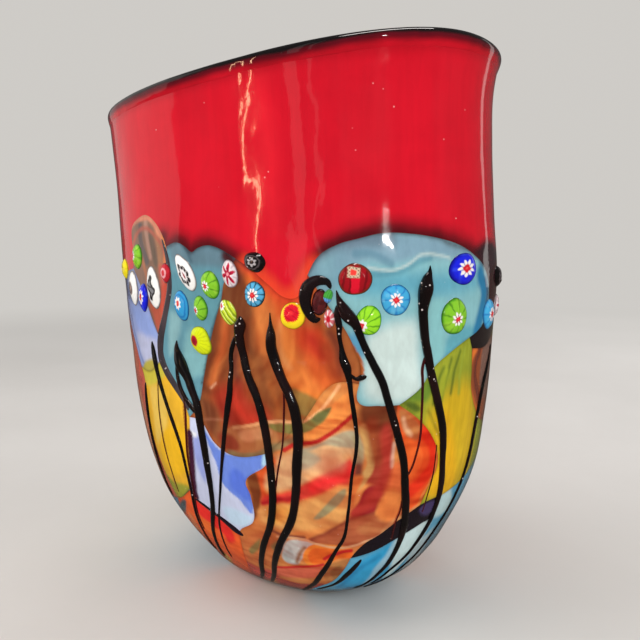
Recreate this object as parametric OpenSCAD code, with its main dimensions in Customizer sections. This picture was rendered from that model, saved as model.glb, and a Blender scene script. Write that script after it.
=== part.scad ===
// Hand blown art glass pocket vase: a thick inner gather of glass, a skin of
// coloured glass panels fused over it, dark canes drawn down the panels,
// cane slices (murrine) pressed into the band where the panels start, and a
// dark glass wrap around the rim.
// Every place on the wall is given as [angle, height]: the angle in degrees
// around the vase (0 = narrow end at +X, -90 = front, 90 = back) and the height in mm
// for a 305 mm vase, before the rim's slope is added.

/* [Body] */
// Height of the wall at the middle of the rim
vase_h = 305; // [270:1:340]
// Width of the belly, end to end
belly_w = 250; // [230:1:270]
// Depth of the belly, front to back
belly_d = 157; // [140:1:172]
// How far the rim rises at the +X end and falls at the other end
rim_slope = 12; // [0:1:16]
// Squareness of the oval plan
squareness = 0.027; // [0:0.001:0.04]

/* [Glass] */
// Thickness of the coloured glass skin
skin_t = 1.6; // [1.2:0.1:2.2]
// Thickness of the wall, skin included
wall_t = 7.5; // [6:0.5:9]
// Height of the inside floor above the table
floor_h = 14; // [12:1:20]
// Height of the dark wrap on the outside of the rim
wrap_h = 8; // [6:1:12]

/* [Canes and murrine] */
// Scale of the drawn canes' width
cane_scale = 1; // [0.8:0.05:1.2]
// How far the murrine stand proud of the skin
murrine_rise = 1.6; // [1:0.1:2.4]

/* [Hidden] */

n_around = 54;
murrine_sides = 12;
// Wall profile: [share of the height, half width of the oval, shift of its centre along X]
PROFILE = [[0, 42, 1], [0.012, 51, 2], [0.03, 60.5, 4], [0.06, 71.5, 7], [0.1, 83, 6.5],
    [0.16, 96, 4.5], [0.25, 109, 4], [0.37, 118, 1.5], [0.5, 123, -0.5], [0.62, 125, -2],
    [0.74, 125, -4.5], [0.85, 125, -6.5], [0.94, 126.5, -8], [1, 129, -7.5]];
NP = len(PROFILE);
width_k = belly_w / 250;
depth_top = belly_d / 250;
depth_foot = depth_top + 0.14;

// ---- the wall surface -------------------------------------------------------
function row(w, i = 0) = (i >= NP - 2 || w < PROFILE[i + 1][0]) ? i : row(w, i + 1);
function slope(c, i) = (PROFILE[i + 1][c] - PROFILE[i][c]) / (PROFILE[i + 1][0] - PROFILE[i][0]);
function lean(c, i) = i == 0 ? slope(c, 0) : i == NP - 1 ? slope(c, i - 1) :
    (slope(c, i - 1) * (PROFILE[i + 1][0] - PROFILE[i][0]) + slope(c, i) * (PROFILE[i][0] - PROFILE[i - 1][0]))
    / (PROFILE[i + 1][0] - PROFILE[i - 1][0]);
function smooth(c, w) = let (i = row(w), g = PROFILE[i + 1][0] - PROFILE[i][0], s = (w - PROFILE[i][0]) / g)
    (1 + 2 * s) * (1 - s) * (1 - s) * PROFILE[i][c] + s * (1 - s) * (1 - s) * g * lean(c, i)
    + s * s * (3 - 2 * s) * PROFILE[i + 1][c] + s * s * (s - 1) * g * lean(c, i + 1);
function ratio(w) = depth_foot + (depth_top - depth_foot) * min(1, max(0, w / 0.5));
function wall(a, w) = let (r = smooth(1, w) * width_k, k = squareness) [
    smooth(2, w) + r * ((1 + k) * cos(a) - k * cos(3 * a)),
    r * ratio(w) * ((1 + k) * sin(a) + k * sin(3 * a)),
    w * (vase_h + rim_slope * cos(a))];
function unit(v) = v / norm(v);
function along(a, w) = (wall(a + 0.2, w) - wall(a - 0.2, w)) / 0.4;
function upward(a, w) = let (w0 = max(0, w - 0.002)) (wall(a, w0 + 0.004) - wall(a, w0)) / 0.004;
function out(a, w) = unit(cross(along(a, w), upward(a, w)));
// A point on the wall at [angle, height], moved out by o
function at(p, o = 0) = let (w = p[1] / 305) wall(p[0], w) + o * out(p[0], w);

// ---- building blocks --------------------------------------------------------
function area2(p) = let (n = len(p)) [for (i = 0, s = 0; i < n; s = s + p[i][0] * p[(i + 1) % n][1] - p[(i + 1) % n][0] * p[i][1], i = i + 1) s][n - 1];
function turn(p) = area2(p) > 0 ? p : [for (i = [len(p) - 1:-1:0]) p[i]];

// A panel of the skin: an outline of [angle, height] points around a centre
module panel(centre, outline, rings = 3, o1 = 0, o0 = -skin_t) {
    p = turn(outline);
    n = len(p);
    m = 1 + rings * n;
    pts = [for (o = [o1, o0]) each concat([at(centre, o)],
        [for (r = [1:rings]) for (i = [0:n - 1]) at(centre + (p[i] - centre) * r / rings, o)])];
    function q(r, i) = 1 + (r - 1) * n + i % n;
    faces = concat(
        [for (i = [0:n - 1]) [0, q(1, i + 1), q(1, i)]],
        [for (r = [1:1:rings - 1]) for (i = [0:n - 1]) [q(r, i), q(r, i + 1), q(r + 1, i + 1)]],
        [for (r = [1:1:rings - 1]) for (i = [0:n - 1]) [q(r, i), q(r + 1, i + 1), q(r + 1, i)]],
        [for (i = [0:n - 1]) [m, m + q(1, i), m + q(1, i + 1)]],
        [for (r = [1:1:rings - 1]) for (i = [0:n - 1]) [m + q(r, i), m + q(r + 1, i + 1), m + q(r, i + 1)]],
        [for (r = [1:1:rings - 1]) for (i = [0:n - 1]) [m + q(r, i), m + q(r + 1, i), m + q(r + 1, i + 1)]],
        [for (i = [0:n - 1]) [q(rings, i), q(rings, i + 1), m + q(rings, i + 1)]],
        [for (i = [0:n - 1]) [q(rings, i), m + q(rings, i + 1), m + q(rings, i)]]);
    polyhedron(points = pts, faces = faces, convexity = 8);
}

// A closed band around the vase: rows of points, each row a section of the ring
module ring(rows, sides) {
    n = len(rows);
    pts = [for (r = rows) each r];
    function q(i, j) = (i % n) * sides + j % sides;
    polyhedron(points = pts, faces = [for (i = [0:n - 1]) for (j = [0:sides - 1]) for (f = [
        [q(i, j), q(i + 1, j + 1), q(i + 1, j)], [q(i, j), q(i, j + 1), q(i + 1, j + 1)]]) f], convexity = 8);
}

// A drawn cane lying on the skin: path points are [angle, height, width]
function curve(p, s) = let (n = len(p) - 1, i = min(n - 1, floor(s)), t = s - i,
    a = p[max(0, i - 1)], b = p[i], c = p[i + 1], d = p[min(n, i + 2)])
    0.5 * (2 * b + t * (c - a) + t * t * (2 * a - 5 * b + 4 * c - d) + t * t * t * (3 * b - 3 * c + d - a));
CANE = [[-0.5, 0], [-0.42, 0.3], [-0.18, 0.45], [0.18, 0.45], [0.42, 0.3], [0.5, 0]];
module cane(path, per = 2) {
    m = (len(path) - 1) * per;
    s = [for (i = [0:m]) curve(path, i / per)];
    c = [for (p = s) at([p[0], p[1]])];
    rows = [for (i = [0:m]) let (d = unit(c[min(m, i + 1)] - c[max(0, i - 1)]), n = out(s[i][0], s[i][1] / 305),
        e = cross(d, n), w = max(0.8, s[i][2]) * cane_scale) [for (k = CANE) c[i] + e * k[0] * w + n * (k[1] * w + 0.02)]];
    pts = [for (r = rows) each r];
    polyhedron(points = pts, faces = concat(
        [[0, 1, 2, 3, 4, 5]], [[for (j = [5:-1:0]) m * 6 + j]],
        [for (i = [0:m - 1]) for (j = [0:5]) [i * 6 + j, (i + 1) * 6 + j, (i + 1) * 6 + (j + 1) % 6]],
        [for (i = [0:m - 1]) for (j = [0:5]) [i * 6 + j, (i + 1) * 6 + (j + 1) % 6, i * 6 + (j + 1) % 6]]), convexity = 6);
}

// A slice of patterned cane pressed into the skin: centre, width, height and tilt
module murrina(a, h, w, t, tilt = 0, rise = murrine_rise) {
    n = murrine_sides;
    ka = norm(along(a, h / 305));
    kh = norm(upward(a, h / 305)) / 305;
    function spot(r, i, o) = let (g = i * 360 / n, u = r * w / 2 * cos(g), v = r * t / 2 * sin(g))
        at([a + (u * cos(tilt) - v * sin(tilt)) / ka, h + (u * sin(tilt) + v * cos(tilt)) / kh], o);
    R = [[1, 0.02], [0.94, 0.6 * rise], [0.6, 0.95 * rise]];
    pts = concat([for (r = R) for (i = [0:n - 1]) spot(r[0], i, r[1])], [at([a, h], rise), at([a, h], 0.02)]);
    polyhedron(points = pts, faces = concat(
        [for (k = [0:1]) for (i = [0:n - 1]) [k * n + i, (k + 1) * n + i, (k + 1) * n + (i + 1) % n]],
        [for (k = [0:1]) for (i = [0:n - 1]) [k * n + i, (k + 1) * n + (i + 1) % n, k * n + (i + 1) % n]],
        [for (i = [0:n - 1]) [3 * n, 2 * n + (i + 1) % n, 2 * n + i]],
        [for (i = [0:n - 1]) [3 * n + 1, i, (i + 1) % n]]), convexity = 4);
}

// ---- body -------------------------------------------------------------------
rim_h = 303;
core_o = -skin_t - 0.12;
foot_edge = 5;
module inner_gather() {
    outer = [[0, 0], [foot_edge, 0], [foot_edge + 1, core_o], [16, core_o], [30, core_o], [50, core_o], [80, core_o],
        [115, core_o], [150, core_o], [185, core_o], [225, core_o], [265, core_o], [rim_h, core_o]];
    inner = [[rim_h, 0], [265, 0], [225, 0], [185, 0], [150, 0], [115, 0], [82, 0], [56, 0], [38, 0.5], [27, 1.5]];
    bottom = [[floor_h + 6, 0.92], [floor_h + 2, 0.76], [floor_h + 0.5, 0.5], [floor_h, 0.22]];
    n = n_around;
    function flat_in(a, h, f) = let (p = at([a, h], -wall_t), m = [smooth(2, h / 305), 0]) [m[0] + f * (p[0] - m[0]), f * p[1], h];
    rings = concat(
        [for (r = outer) [for (i = [0:n - 1]) at([i * 360 / n, r[0]], r[1])]],
        [for (r = inner) [for (i = [0:n - 1]) at([i * 360 / n, r[0]], -wall_t - r[1])]],
        [for (r = bottom) [for (i = [0:n - 1]) flat_in(i * 360 / n, r[0], r[1])]]);
    m = len(rings);
    pts = concat([for (r = rings) each r], [[smooth(2, floor_h / 305), 0, floor_h]]);
    color([0.25, 0.10, 0.10]) polyhedron(points = pts, faces = concat(
        [[for (i = [0:n - 1]) i]],
        [for (k = [0:m - 2]) for (i = [0:n - 1]) [k * n + i, (k + 1) * n + i, (k + 1) * n + (i + 1) % n]],
        [for (k = [0:m - 2]) for (i = [0:n - 1]) [k * n + i, (k + 1) * n + (i + 1) % n, k * n + (i + 1) % n]],
        [for (i = [0:n - 1]) [(m - 1) * n + i, m * n, (m - 1) * n + (i + 1) % n]]), convexity = 8);
}

module lip_wrap() {
    wi = -wall_t;
    lo = 305 - wrap_h;
    section = [[lo, -skin_t], [lo, 0.3], [lo + 2, 0.8], [304, 0.9], [306.3, -0.8], [307.2, wi / 2],
        [306.2, wi + 0.2], [303.8, wi - 0.9], [rim_h - 4, wi - 0.8], [rim_h - 4.5, wi - 0.05], [rim_h + 0.05, wi - 0.05], [rim_h + 0.05, -skin_t]];
    color([0.05, 0.03, 0.04]) ring([for (i = [0:n_around - 1]) [for (s = section) at([i * 360 / n_around, s[0]], s[1])]], len(section));
}

// Lower edge of the red field, all the way round
SKY = [[-156, 203], [-145, 201], [-134, 201], [-125, 203], [-124, 215], [-123, 228], [-118, 233], [-114, 234],
    [-110, 229], [-107, 220], [-106, 214], [-102, 216], [-99, 213], [-97, 210], [-95, 212], [-92, 213],
    [-90, 212], [-87, 209], [-84, 205], [-80, 199], [-76, 191], [-72, 184], [-69, 184], [-66, 195],
    [-63, 204], [-58, 209], [-53, 211], [-46, 213], [-38, 212], [-28, 209], [-19, 205], [-12, 200],
    [-4, 192], [-1.5, 185], [-1, 174], [4, 173], [8, 177], [14, 184], [20, 193], [28, 200], [36, 204],
    [44, 203], [50, 197], [54, 190], [58, 200], [64, 208], [74, 213], [86, 214], [98, 211], [106, 204],
    [111, 194], [116, 203], [122, 212], [130, 216], [138, 213], [144, 204], [148, 194], [154, 203],
    [162, 209], [172, 211], [182, 209], [192, 205]];
module red_field() {
    n = len(SKY);
    top = 305 - wrap_h - 0.1;
    steps = [0, 0.25, 0.5, 0.75, 1];
    rows = [for (p = SKY) concat(
        [for (s = steps) at([p[0], p[1] + (top - p[1]) * s], 0)],
        [for (s = [1, 0.75, 0.5, 0.25, 0]) at([p[0], p[1] + (top - p[1]) * s], -skin_t)])];
    color([0.86, 0.07, 0.15]) ring([for (r = rows) [for (j = [9:-1:0]) r[j]]], 10);
}

// ---- front panels -----------------------------------------------------------
module brown_lobe() { color([0.55, 0.42, 0.36]) panel([-114, 200], [[-125, 203], [-124, 215], [-123, 228], [-118, 233],
    [-114, 234], [-110, 229], [-107, 220], [-106, 214], [-105, 200], [-106, 188], [-108, 174], [-112, 158],
    [-115, 170], [-117, 179], [-121, 193]], 2); }
module periwinkle_panel() { color([0.59, 0.65, 0.84]) panel([-126, 175], [[-156, 203], [-145, 201], [-134, 201],
    [-125, 203], [-121, 193], [-117, 179], [-115, 170], [-112, 158], [-114, 145], [-120, 138], [-127, 140],
    [-131, 152], [-136, 168], [-142, 182], [-150, 192]]); }
module terracotta_strip() { color([0.75, 0.32, 0.28]) panel([-140, 130], [[-156, 203], [-150, 192], [-142, 182],
    [-136, 168], [-131, 152], [-127, 140], [-125, 132], [-126, 115], [-126, 99], [-124, 71], [-121, 56],
    [-128, 54], [-136, 60], [-142, 85], [-147, 110], [-153, 140], [-160, 170], [-166, 190], [-168, 205]]); }
module yellow_panel() { color([0.87, 0.66, 0.12]) panel([-115, 100], [[-127, 140], [-120, 138], [-114, 145],
    [-110, 138], [-106, 131], [-102, 115], [-104, 92], [-109, 67], [-115, 60], [-121, 56], [-124, 71],
    [-126, 99], [-126, 115], [-125, 132]]); }
module left_blue_panel() { color([0.55, 0.78, 0.84]) panel([-99, 165], [[-106, 214], [-102, 216], [-99, 213],
    [-97, 210], [-95, 212], [-92, 213], [-90, 212], [-87, 209], [-84, 205], [-88, 192], [-89, 184], [-91, 173],
    [-94, 155], [-96, 138], [-98, 124], [-102, 115], [-106, 131], [-110, 138], [-114, 145], [-112, 158],
    [-108, 174], [-106, 188], [-105, 200]], 2); }
module lavender_panel() { color([0.60, 0.66, 0.86]) panel([-94, 78], [[-102, 115], [-98, 114], [-94, 103],
    [-90, 98], [-86, 97], [-78, 101], [-78, 96], [-85, 83], [-84, 75], [-84, 59], [-90, 50], [-91, 46],
    [-94, 53], [-101, 57], [-109, 67], [-104, 92]], 2); }
module orange_low_panel() { color([0.90, 0.35, 0.14]) panel([-108, 32], [[-109, 67], [-101, 57], [-94, 53],
    [-91, 46], [-93, 35], [-96, 22], [-98, 13], [-98, 6.2], [-110, 6.2], [-122, 6.2], [-134, 6.2], [-132, 25],
    [-126, 45], [-121, 56], [-115, 60]]); }
module amber_blob() { color([0.72, 0.36, 0.14]) panel([-78, 148], [[-84, 205], [-80, 199], [-76, 191], [-72, 184],
    [-69, 184], [-66, 195], [-62, 182], [-56, 164], [-54, 155], [-53, 148], [-53, 140], [-60, 140], [-68, 120],
    [-78, 101], [-86, 97], [-90, 98], [-94, 103], [-98, 114], [-102, 115], [-98, 124], [-96, 138], [-94, 155],
    [-91, 173], [-89, 184], [-88, 192]]); }
module marbled_swirl() { color([0.80, 0.42, 0.20]) panel([-60, 85], [[-78, 101], [-68, 120], [-60, 140], [-53, 140],
    [-53, 131], [-47, 129], [-41, 129], [-34, 121], [-29, 113], [-25, 103], [-24, 94], [-26, 85], [-28, 73],
    [-36, 65], [-41, 58], [-46, 52], [-50, 42], [-54, 26], [-62, 13], [-64, 6.2], [-75, 6.2], [-86, 6.2],
    [-98, 6.2], [-98, 13], [-96, 22], [-93, 35], [-91, 46], [-90, 50], [-84, 59], [-84, 75], [-85, 83], [-78, 96]], 4); }
module blue_dome() { color([0.60, 0.82, 0.86]) panel([-40, 175], [[-66, 195], [-63, 204], [-58, 209], [-53, 211],
    [-46, 213], [-38, 212], [-28, 209], [-19, 205], [-12, 200], [-4, 192], [-1.5, 185], [-1, 174], [-5, 165],
    [-14, 159], [-22, 154], [-30, 146], [-34, 137], [-38, 132], [-41, 129], [-47, 129], [-53, 131], [-53, 140],
    [-53, 148], [-54, 155], [-56, 164], [-62, 182]], 4); }
module dark_wedge() { color([0.08, 0.06, 0.06]) panel([0, 163], [[-1, 174], [-5, 165], [-14, 159], [-12, 153],
    [-2, 152], [6, 156], [8, 166], [4, 173]], 2); }
module green_yellow_panel() { color([0.68, 0.65, 0.15]) panel([-20, 110], [[-41, 129], [-38, 132], [-34, 137],
    [-30, 146], [-22, 154], [-14, 159], [-12, 153], [-11, 142], [-10, 131], [-1, 114], [12, 107], [16, 92],
    [-2, 81], [-18, 75], [-22, 75], [-28, 73], [-26, 85], [-24, 94], [-25, 103], [-29, 113], [-34, 121]]); }
module brown_oval() { color([0.45, 0.26, 0.16]) panel([5, 134], [[-12, 153], [-2, 152], [6, 156], [13, 156],
    [18, 150], [21, 136], [19, 120], [12, 107], [-1, 114], [-10, 131], [-11, 142]], 2); }
module dark_bar() { color([0.05, 0.04, 0.06]) panel([-32, 61], [[-18, 75], [-22, 75], [-28, 73], [-36, 65],
    [-41, 58], [-46, 52], [-50, 42], [-42, 46], [-32, 54], [-23, 60], [-19, 62]], 2); }
module light_blue_low() { color([0.35, 0.68, 0.80]) panel([-12, 38], [[16, 92], [-2, 81], [-18, 75], [-19, 62],
    [-23, 60], [-32, 54], [-42, 46], [-50, 42], [-54, 26], [-62, 13], [-64, 6.2], [-50, 6.2], [-36, 6.2],
    [-22, 6.2], [-8, 6.2], [6, 6.2], [20, 6.2], [20, 30], [20, 60]], 4); }

// ---- end and back panels ----------------------------------------------------
module right_end_lime() { color([0.62, 0.70, 0.22]) panel([36, 160], [[4, 173], [8, 177], [14, 184], [20, 193],
    [28, 200], [36, 204], [44, 203], [50, 197], [54, 190], [55, 175], [54, 155], [50, 135], [44, 118], [36, 108],
    [28, 104], [12, 107], [19, 120], [21, 136], [18, 150], [13, 156], [6, 156], [8, 166]]); }
module back_blue_dome() { color([0.56, 0.80, 0.86]) panel([82, 168], [[54, 190], [58, 200], [64, 208], [74, 213],
    [86, 214], [98, 211], [106, 204], [111, 194], [110, 175], [105, 155], [97, 138], [88, 127], [78, 121],
    [66, 122], [57, 128], [50, 135], [54, 155], [55, 175]], 4); }
module back_coral_swirl() { color([0.85, 0.40, 0.22]) panel([48, 75], [[16, 92], [12, 107], [28, 104], [36, 108],
    [44, 118], [50, 135], [57, 128], [66, 122], [78, 121], [84, 104], [86, 84], [80, 62], [74, 40], [72, 22],
    [72, 6.2], [60, 6.2], [46, 6.2], [33, 6.2], [20, 6.2], [20, 30], [20, 60]], 4); }
module back_lavender() { color([0.62, 0.66, 0.86]) panel([95, 96], [[78, 121], [88, 127], [97, 138], [102, 128],
    [106, 112], [106, 92], [100, 74], [90, 64], [80, 62], [86, 84], [84, 104]], 2); }
module back_brown_blob() { color([0.60, 0.32, 0.16]) panel([123, 140], [[111, 194], [116, 203], [122, 212],
    [130, 216], [138, 213], [144, 204], [148, 194], [147, 175], [143, 155], [138, 135], [136, 112], [133, 92],
    [125, 78], [112, 72], [100, 74], [106, 92], [106, 112], [102, 128], [97, 138], [105, 155], [110, 175]]); }
module back_orange_low() { color([0.90, 0.42, 0.15]) panel([112, 40], [[80, 62], [90, 64], [100, 74], [112, 72],
    [125, 78], [133, 92], [140, 70], [146, 50], [150, 30], [152, 6.2], [138, 6.2], [124, 6.2], [110, 6.2],
    [96, 6.2], [84, 6.2], [72, 6.2], [72, 22], [74, 40]]); }
module back_yellow() { color([0.88, 0.68, 0.14]) panel([178, 88], [[138, 135], [150, 125], [166, 118], [182, 118],
    [196, 126], [207, 140], [213, 110], [218, 85], [224, 60], [214, 52], [200, 50], [186, 50], [172, 52],
    [160, 50], [146, 50], [140, 70], [133, 92], [136, 112]], 4); }
module left_back_blue() { color([0.45, 0.62, 0.82]) panel([172, 165], [[192, 205], [194, 190], [200, 170],
    [207, 140], [196, 126], [182, 118], [166, 118], [150, 125], [138, 135], [143, 155], [147, 175], [148, 194],
    [154, 203], [162, 209], [172, 211], [182, 209]], 4); }
module left_back_low() { color([0.35, 0.62, 0.76]) panel([186, 27], [[232, 54], [239, 56], [234, 45], [228, 25],
    [226, 6.2], [210, 6.2], [196, 6.2], [182, 6.2], [166, 6.2], [152, 6.2], [150, 30], [146, 50], [160, 50],
    [172, 52], [186, 50], [200, 50], [214, 52], [224, 60]]); }

// ---- drawn canes ------------------------------------------------------------
module ink() { color([0.04, 0.03, 0.03]) children(); }
module cane_01() { ink() cane([[-117, 158, 1], [-114, 139, 3], [-109, 111, 3], [-106.5, 86, 2.4], [-109, 57, 2], [-116, 22, 1.6]]); }
module cane_02() { ink() cane([[-124, 134, 1.6], [-124, 105, 3], [-125, 80, 2.4], [-124, 62, 1.4]]); }
module cane_03() { ink() cane([[-105, 158, 1.4], [-104, 146, 6], [-100, 127, 4.4], [-98, 109, 3.6], [-97.5, 85, 3.2], [-101.5, 52, 2.4], [-112, 17, 2]]); }
module cane_04() { ink() cane([[-87, 166, 1.6], [-88, 150, 2.4], [-89.5, 129, 2.4], [-90.5, 107, 2.2], [-92.5, 84, 1.8], [-95.5, 56, 1.4], [-103, 23, 1.2]]); }
module cane_05() { ink() cane([[-85, 176, 3], [-84, 168, 5.4], [-83, 147, 4], [-79.5, 127, 4], [-77.5, 107, 3.8], [-77, 79, 3.8], [-80, 53, 3.8], [-86, 28, 3.8], [-91, 11, 3.4]]); }
module cane_06() { ink() cane([[-76, 178, 1.2], [-75.5, 163, 5.4], [-74, 148, 4.4], [-71.5, 137, 3.6], [-69.5, 116, 4], [-69.5, 88, 4.2], [-72, 65, 4], [-77, 42, 3.4], [-84, 14, 3]]); }
module cane_07() { ink() cane([[-60, 166, 3], [-57.5, 151, 4.4], [-55, 136, 3], [-53.5, 117, 2.4], [-53.5, 97, 2.2], [-53.5, 76, 2], [-55, 57, 2], [-59, 38, 2], [-64, 15, 1.8]]); }
module cane_08() { ink() cane([[-56.5, 179, 5], [-54, 172, 5.4], [-51.5, 160, 4.4], [-48.5, 148, 4], [-43, 126, 4], [-39.5, 110, 4], [-37, 89, 3.6], [-34, 66, 3], [-32, 47, 2.6], [-36, 26, 2]]); }
module cane_09() { ink() cane([[-32, 197, 1.4], [-33.5, 188, 7.5], [-34, 179, 6.5], [-34.5, 170, 4.4], [-32, 149, 4.6], [-26.5, 120, 4.2], [-22, 100, 4], [-20, 77, 3.6], [-20, 57, 3], [-22.5, 42, 2.4], [-30, 28, 1.8]]); }
module cane_10() { ink() cane([[7, 152, 1.2], [2, 138, 2.4], [-1, 129, 2.6], [-3.5, 112, 2.4], [-4.5, 97, 2.2], [-6.5, 82, 2], [-9, 58, 1.8], [-14, 38, 1.6], [-27, 19, 1.4]]); }
module fine_threads() { color([0.22, 0.05, 0.04]) {
    cane([[-103.5, 120, 0.9], [-102, 104, 1.1], [-103.5, 88, 1.1], [-105.5, 70, 1], [-109, 47, 1], [-113, 30, 0.9]]);
    cane([[-73.5, 136, 0.9], [-73.5, 121, 1.1], [-74, 104, 1.1], [-75, 88, 1]]);
    cane([[-34.5, 154, 0.9], [-35, 140, 1.1], [-33.5, 118, 1.1], [-33, 101, 1], [-34.5, 90, 0.9]]);
} }
module back_canes() { ink() {
    cane([[30, 180, 1.2], [31, 168, 5], [33, 140, 4], [38, 105, 3.6], [40, 70, 3.2], [36, 40, 2.6], [30, 20, 2]]);
    cane([[66, 176, 1.2], [67, 165, 6], [65, 140, 4.4], [62, 110, 4], [63, 75, 3.6], [60, 45, 3], [52, 20, 2.2]]);
    cane([[92, 182, 1.4], [91, 172, 6.4], [94, 148, 4.4], [98, 118, 4], [97, 85, 3.4], [93, 50, 2.8], [88, 20, 2]]);
    cane([[117, 180, 1.2], [118, 165, 4.4], [121, 135, 4], [119, 100, 3.6], [115, 65, 3], [108, 25, 2.2]]);
    cane([[152, 170, 1.2], [151, 158, 5], [154, 130, 3.8], [158, 100, 3.4], [155, 65, 3], [148, 28, 2]]);
    cane([[186, 168, 1], [185, 155, 4], [187, 128, 3.2], [189, 95, 2.8], [186, 60, 2.4], [176, 25, 1.8]]);
} }
module left_seam() { color([0.20, 0.14, 0.16]) cane([[-105.7, 213, 1.6], [-104.8, 201, 3.6], [-105.6, 188, 3.8],
    [-108, 173, 3.6], [-112, 157, 3.4], [-113.6, 146, 3], [-110.6, 138.4, 3], [-106.2, 130.6, 3], [-102.6, 118, 2.6]], 2); }
module lavender_seam() { color([0.10, 0.05, 0.10]) cane([[-103, 57.4, 1.4], [-99, 56, 1.8], [-94.5, 53, 3], [-92, 49, 4.4], [-90, 46, 3]]); }
module swirl_seam() { ink() cane([[-50.5, 39, 1.8], [-52, 31, 1.8], [-56, 21, 1.6], [-60.5, 14, 1.4]]); }

// ---- murrine ----------------------------------------------------------------
module green_murrine() { color([0.36, 0.62, 0.16]) {
    murrina(-121, 210, 12, 14, -12); murrina(-92, 191, 12, 15, 25); murrina(-95.5, 178, 10, 13, 10); murrina(-22, 169, 15, 17, 0);
    murrina(44, 188, 13, 15, 10); murrina(128, 190, 13, 14, -15);
} }
module lime_murrine() { color([0.76, 0.84, 0.12]) {
    murrina(-96.5, 160, 14, 16, 20); murrina(-89.5, 178, 9, 12, 20); murrina(-50.5, 169, 9, 12, 0);
    murrina(74, 171, 13, 15, -15); murrina(172, 176, 13, 16, 10);
} }
module light_blue_murrine() { color([0.26, 0.60, 0.80]) {
    murrina(-102, 180, 11, 15, 10); murrina(-79, 186, 12, 13.5, 0); murrina(-43, 180, 14, 15, 0); murrina(-1, 169, 16, 16, 0);
    murrina(100, 190, 14, 15, 0); murrina(163, 193, 13, 15, 10);
} }
module royal_blue_murrine() { color([0.13, 0.16, 0.72]) {
    murrina(-119.3, 183, 10, 17, -8); murrina(-18, 193, 18, 16, 0); murrina(58, 184, 13, 14, 0); murrina(178, 195, 13, 15, 0);
} }
module white_eye_murrine() { color([0.92, 0.91, 0.90]) {
    murrina(-126.4, 190, 11, 21, 0); murrina(-112.8, 189, 12, 24, 8); murrina(-99.2, 198, 12, 19, 32);
    murrina(84, 196, 13, 20, 20); murrina(146, 184, 12, 19, -15);
} }
module yellow_murrine() { color([0.90, 0.82, 0.10]) {
    murrina(-134, 203, 12, 13, 0); murrina(-69.8, 169, 13, 12, 0); murrina(112, 180, 12, 13, 0); murrina(200, 188, 12, 13, 0);
} }
module red_star_murrine() { color([0.80, 0.30, 0.36]) {
    murrina(-106.6, 200, 9, 11, 0); murrina(-86, 197, 10, 14, 10); murrina(-62, 174, 5, 8, 0); murrina(-60.7, 184, 4.5, 7, -20);
    murrina(16, 172, 12, 13, 0); murrina(136, 200, 11, 12, 0);
} }
module dark_red_murrine() { color([0.50, 0.09, 0.10]) { murrina(-53.5, 192, 16, 15, 0); murrina(70, 194, 14, 14, 0); } }
module black_bead() { color([0.05, 0.04, 0.04]) { murrina(-79, 202, 13, 10, -10, murrine_rise + 0.6); murrina(10, 188, 12, 12, 0, murrine_rise + 0.8); } }
module crescent_bead() { color([0.12, 0.04, 0.05]) murrina(-66, 185, 10, 19, -12, murrine_rise + 0.6); }

inner_gather();
lip_wrap();
red_field();
brown_lobe();
periwinkle_panel();
terracotta_strip();
yellow_panel();
left_blue_panel();
lavender_panel();
orange_low_panel();
amber_blob();
marbled_swirl();
blue_dome();
dark_wedge();
green_yellow_panel();
brown_oval();
dark_bar();
light_blue_low();
right_end_lime();
back_blue_dome();
back_coral_swirl();
back_lavender();
back_brown_blob();
back_orange_low();
back_yellow();
left_back_blue();
left_back_low();
cane_01();
cane_02();
cane_03();
cane_04();
cane_05();
cane_06();
cane_07();
cane_08();
cane_09();
cane_10();
fine_threads();
back_canes();
left_seam();
lavender_seam();
swirl_seam();
green_murrine();
lime_murrine();
light_blue_murrine();
royal_blue_murrine();
white_eye_murrine();
yellow_murrine();
red_star_murrine();
dark_red_murrine();
black_bead();
crescent_bead();
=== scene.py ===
# Looks of the hand blown pocket vase: every piece of glass is rebuilt as a fine
# mesh on the same wall surface as the CAD, in metres, and painted by listed strokes.
import math

import bpy
import numpy as np
from mathutils.geometry import delaunay_2d_cdt
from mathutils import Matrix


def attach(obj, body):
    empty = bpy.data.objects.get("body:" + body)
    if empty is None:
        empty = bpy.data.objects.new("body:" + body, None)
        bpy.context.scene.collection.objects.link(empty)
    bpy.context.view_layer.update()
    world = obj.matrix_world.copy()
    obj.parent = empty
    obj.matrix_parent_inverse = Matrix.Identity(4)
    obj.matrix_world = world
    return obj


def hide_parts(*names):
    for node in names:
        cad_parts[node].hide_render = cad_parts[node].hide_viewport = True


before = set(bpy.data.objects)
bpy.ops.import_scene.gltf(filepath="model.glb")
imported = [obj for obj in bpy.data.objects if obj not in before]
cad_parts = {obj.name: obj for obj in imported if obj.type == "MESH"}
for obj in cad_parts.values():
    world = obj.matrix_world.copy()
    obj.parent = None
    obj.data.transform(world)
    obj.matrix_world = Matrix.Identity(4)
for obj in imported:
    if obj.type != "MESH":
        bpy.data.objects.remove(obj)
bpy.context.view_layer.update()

# ---------------------------------------------------------------- wall surface
# share of the height, half width, centre shift (mm), for a 305 mm wall
PROFILE = np.array([
    [0, 42, 1], [0.012, 51, 2], [0.03, 60.5, 4], [0.06, 71.5, 7], [0.1, 83, 6.5], [0.16, 96, 4.5], [0.25, 109, 4],
    [0.37, 118, 1.5], [0.5, 123, -0.5], [0.62, 125, -2], [0.74, 125, -4.5], [0.85, 125, -6.5], [0.94, 126.5, -8],
    [1, 129, -7.5]])
HEIGHT, SLOPE, SQUARE = 305.0, 12.0, 0.027
SKIN, WALL, FLOOR_H, WRAP = 1.6, 7.5, 14.0, 8.0
FOOT = 1.3                     # lower edge of the skin above the table


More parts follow.
